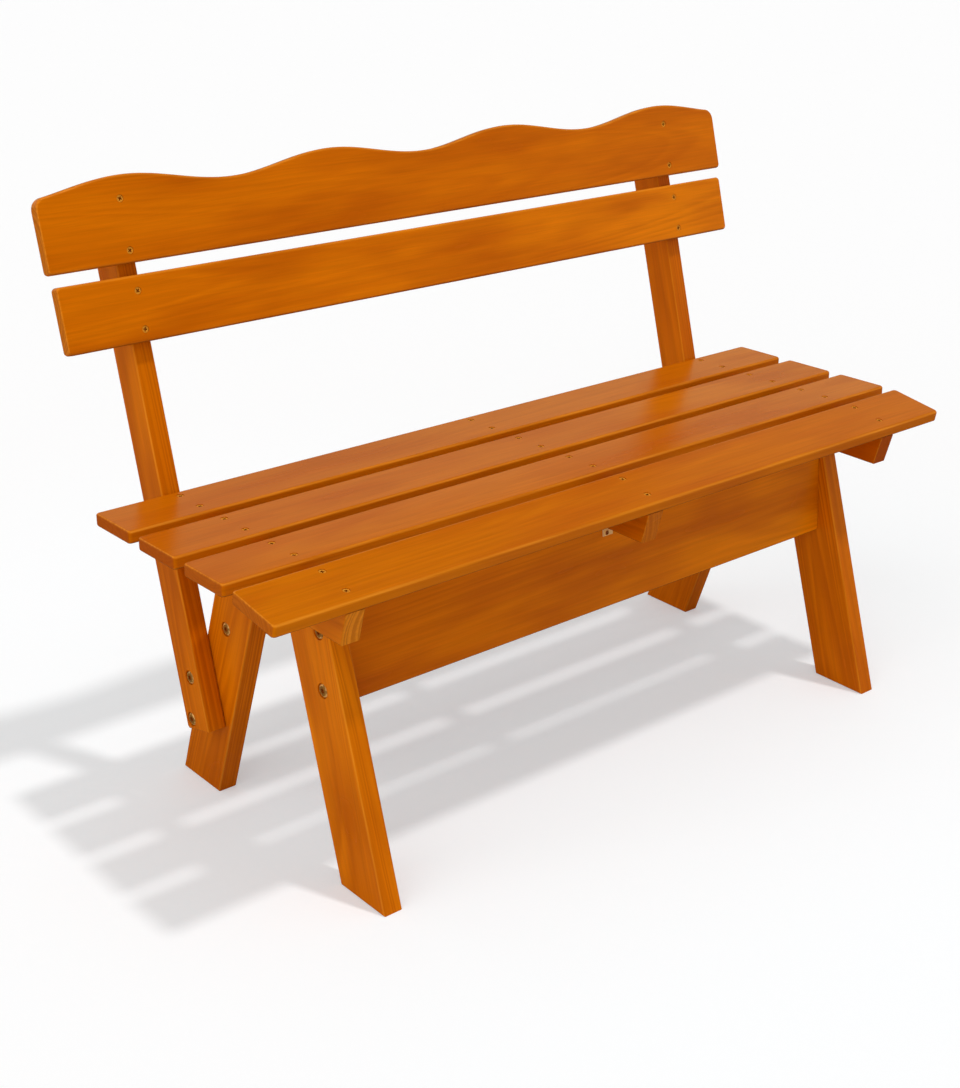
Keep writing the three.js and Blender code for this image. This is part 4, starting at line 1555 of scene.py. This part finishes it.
def add_sun(name, place, level, spread):
    """A far soft light that lights a face turned to it at a level of 1 for pi watts."""
    lamp = bpy.data.lights.new(name, "SUN")
    lamp.energy = level * math.pi
    lamp.angle = spread
    new_object(name, lamp).rotation_euler = place.to_track_quat("Z", "Y").to_euler()


class BENCH_OT_studio(bpy.types.Operator):
    """Makes the floor, the backdrop, the lights and the camera"""

    bl_idname = "bench.studio"
    bl_label = "Studio"

    def execute(self, context):
        studio = context.scene.bench_studio
        make_world(studio, context.scene.bench_colours)
        make_floor(studio, context.scene.bench_colours)
        add_sun("Key light", KEY_PLACE, studio.key, KEY_SPREAD)
        add_sun("Fill light", FILL_PLACE, studio.fill, FILL_SPREAD)
        add_camera()
        context.scene.view_settings.view_transform = "Standard"
        return {"FINISHED"}


OPERATORS = (
    BENCH_OT_seat_slats,
    BENCH_OT_back_boards,
    BENCH_OT_aprons,
    BENCH_OT_sawn_frames,
    BENCH_OT_screws,
    BENCH_OT_bolts,
    BENCH_OT_bracket,
    BENCH_OT_studio,
)

PROPERTY_GROUPS = {
    "bench_wood": BenchWoodSizes,
    "bench_fixings": BenchFixingSizes,
    "bench_colours": BenchColours,
    "bench_studio": BenchStudio,
}


class BENCH_PT_panel(bpy.types.Panel):
    """Lists the bench's pieces and sizes"""

    bl_label = "Garden bench"
    bl_idname = "BENCH_PT_panel"
    bl_space_type = "VIEW_3D"
    bl_region_type = "UI"
    bl_category = "Bench"

    def draw(self, context):
        for operator in OPERATORS:
            self.layout.operator(operator.bl_idname)
        for group in PROPERTY_GROUPS:
            values = getattr(context.scene, group)
            for name in values.bl_rna.properties.keys():
                if name not in ("rna_type", "name"):
                    self.layout.prop(values, name)


def register():
    for name, group in PROPERTY_GROUPS.items():
        bpy.utils.register_class(group)
        setattr(bpy.types.Scene, name, bpy.props.PointerProperty(type=group))
    for kind in (*OPERATORS, BENCH_PT_panel):
        bpy.utils.register_class(kind)


def unregister():
    for kind in (BENCH_PT_panel, *reversed(OPERATORS)):
        bpy.utils.unregister_class(kind)
    for name, group in PROPERTY_GROUPS.items():
        delattr(bpy.types.Scene, name)
        bpy.utils.unregister_class(group)


def main():
    register()
    bpy.ops.bench.seat_slats()
    bpy.ops.bench.back_boards()
    bpy.ops.bench.aprons()
    bpy.ops.bench.sawn_frames()
    bpy.ops.bench.screws()
    bpy.ops.bench.bolts()
    bpy.ops.bench.bracket()
    bpy.ops.bench.studio()


if __name__ == "__main__":
    main()
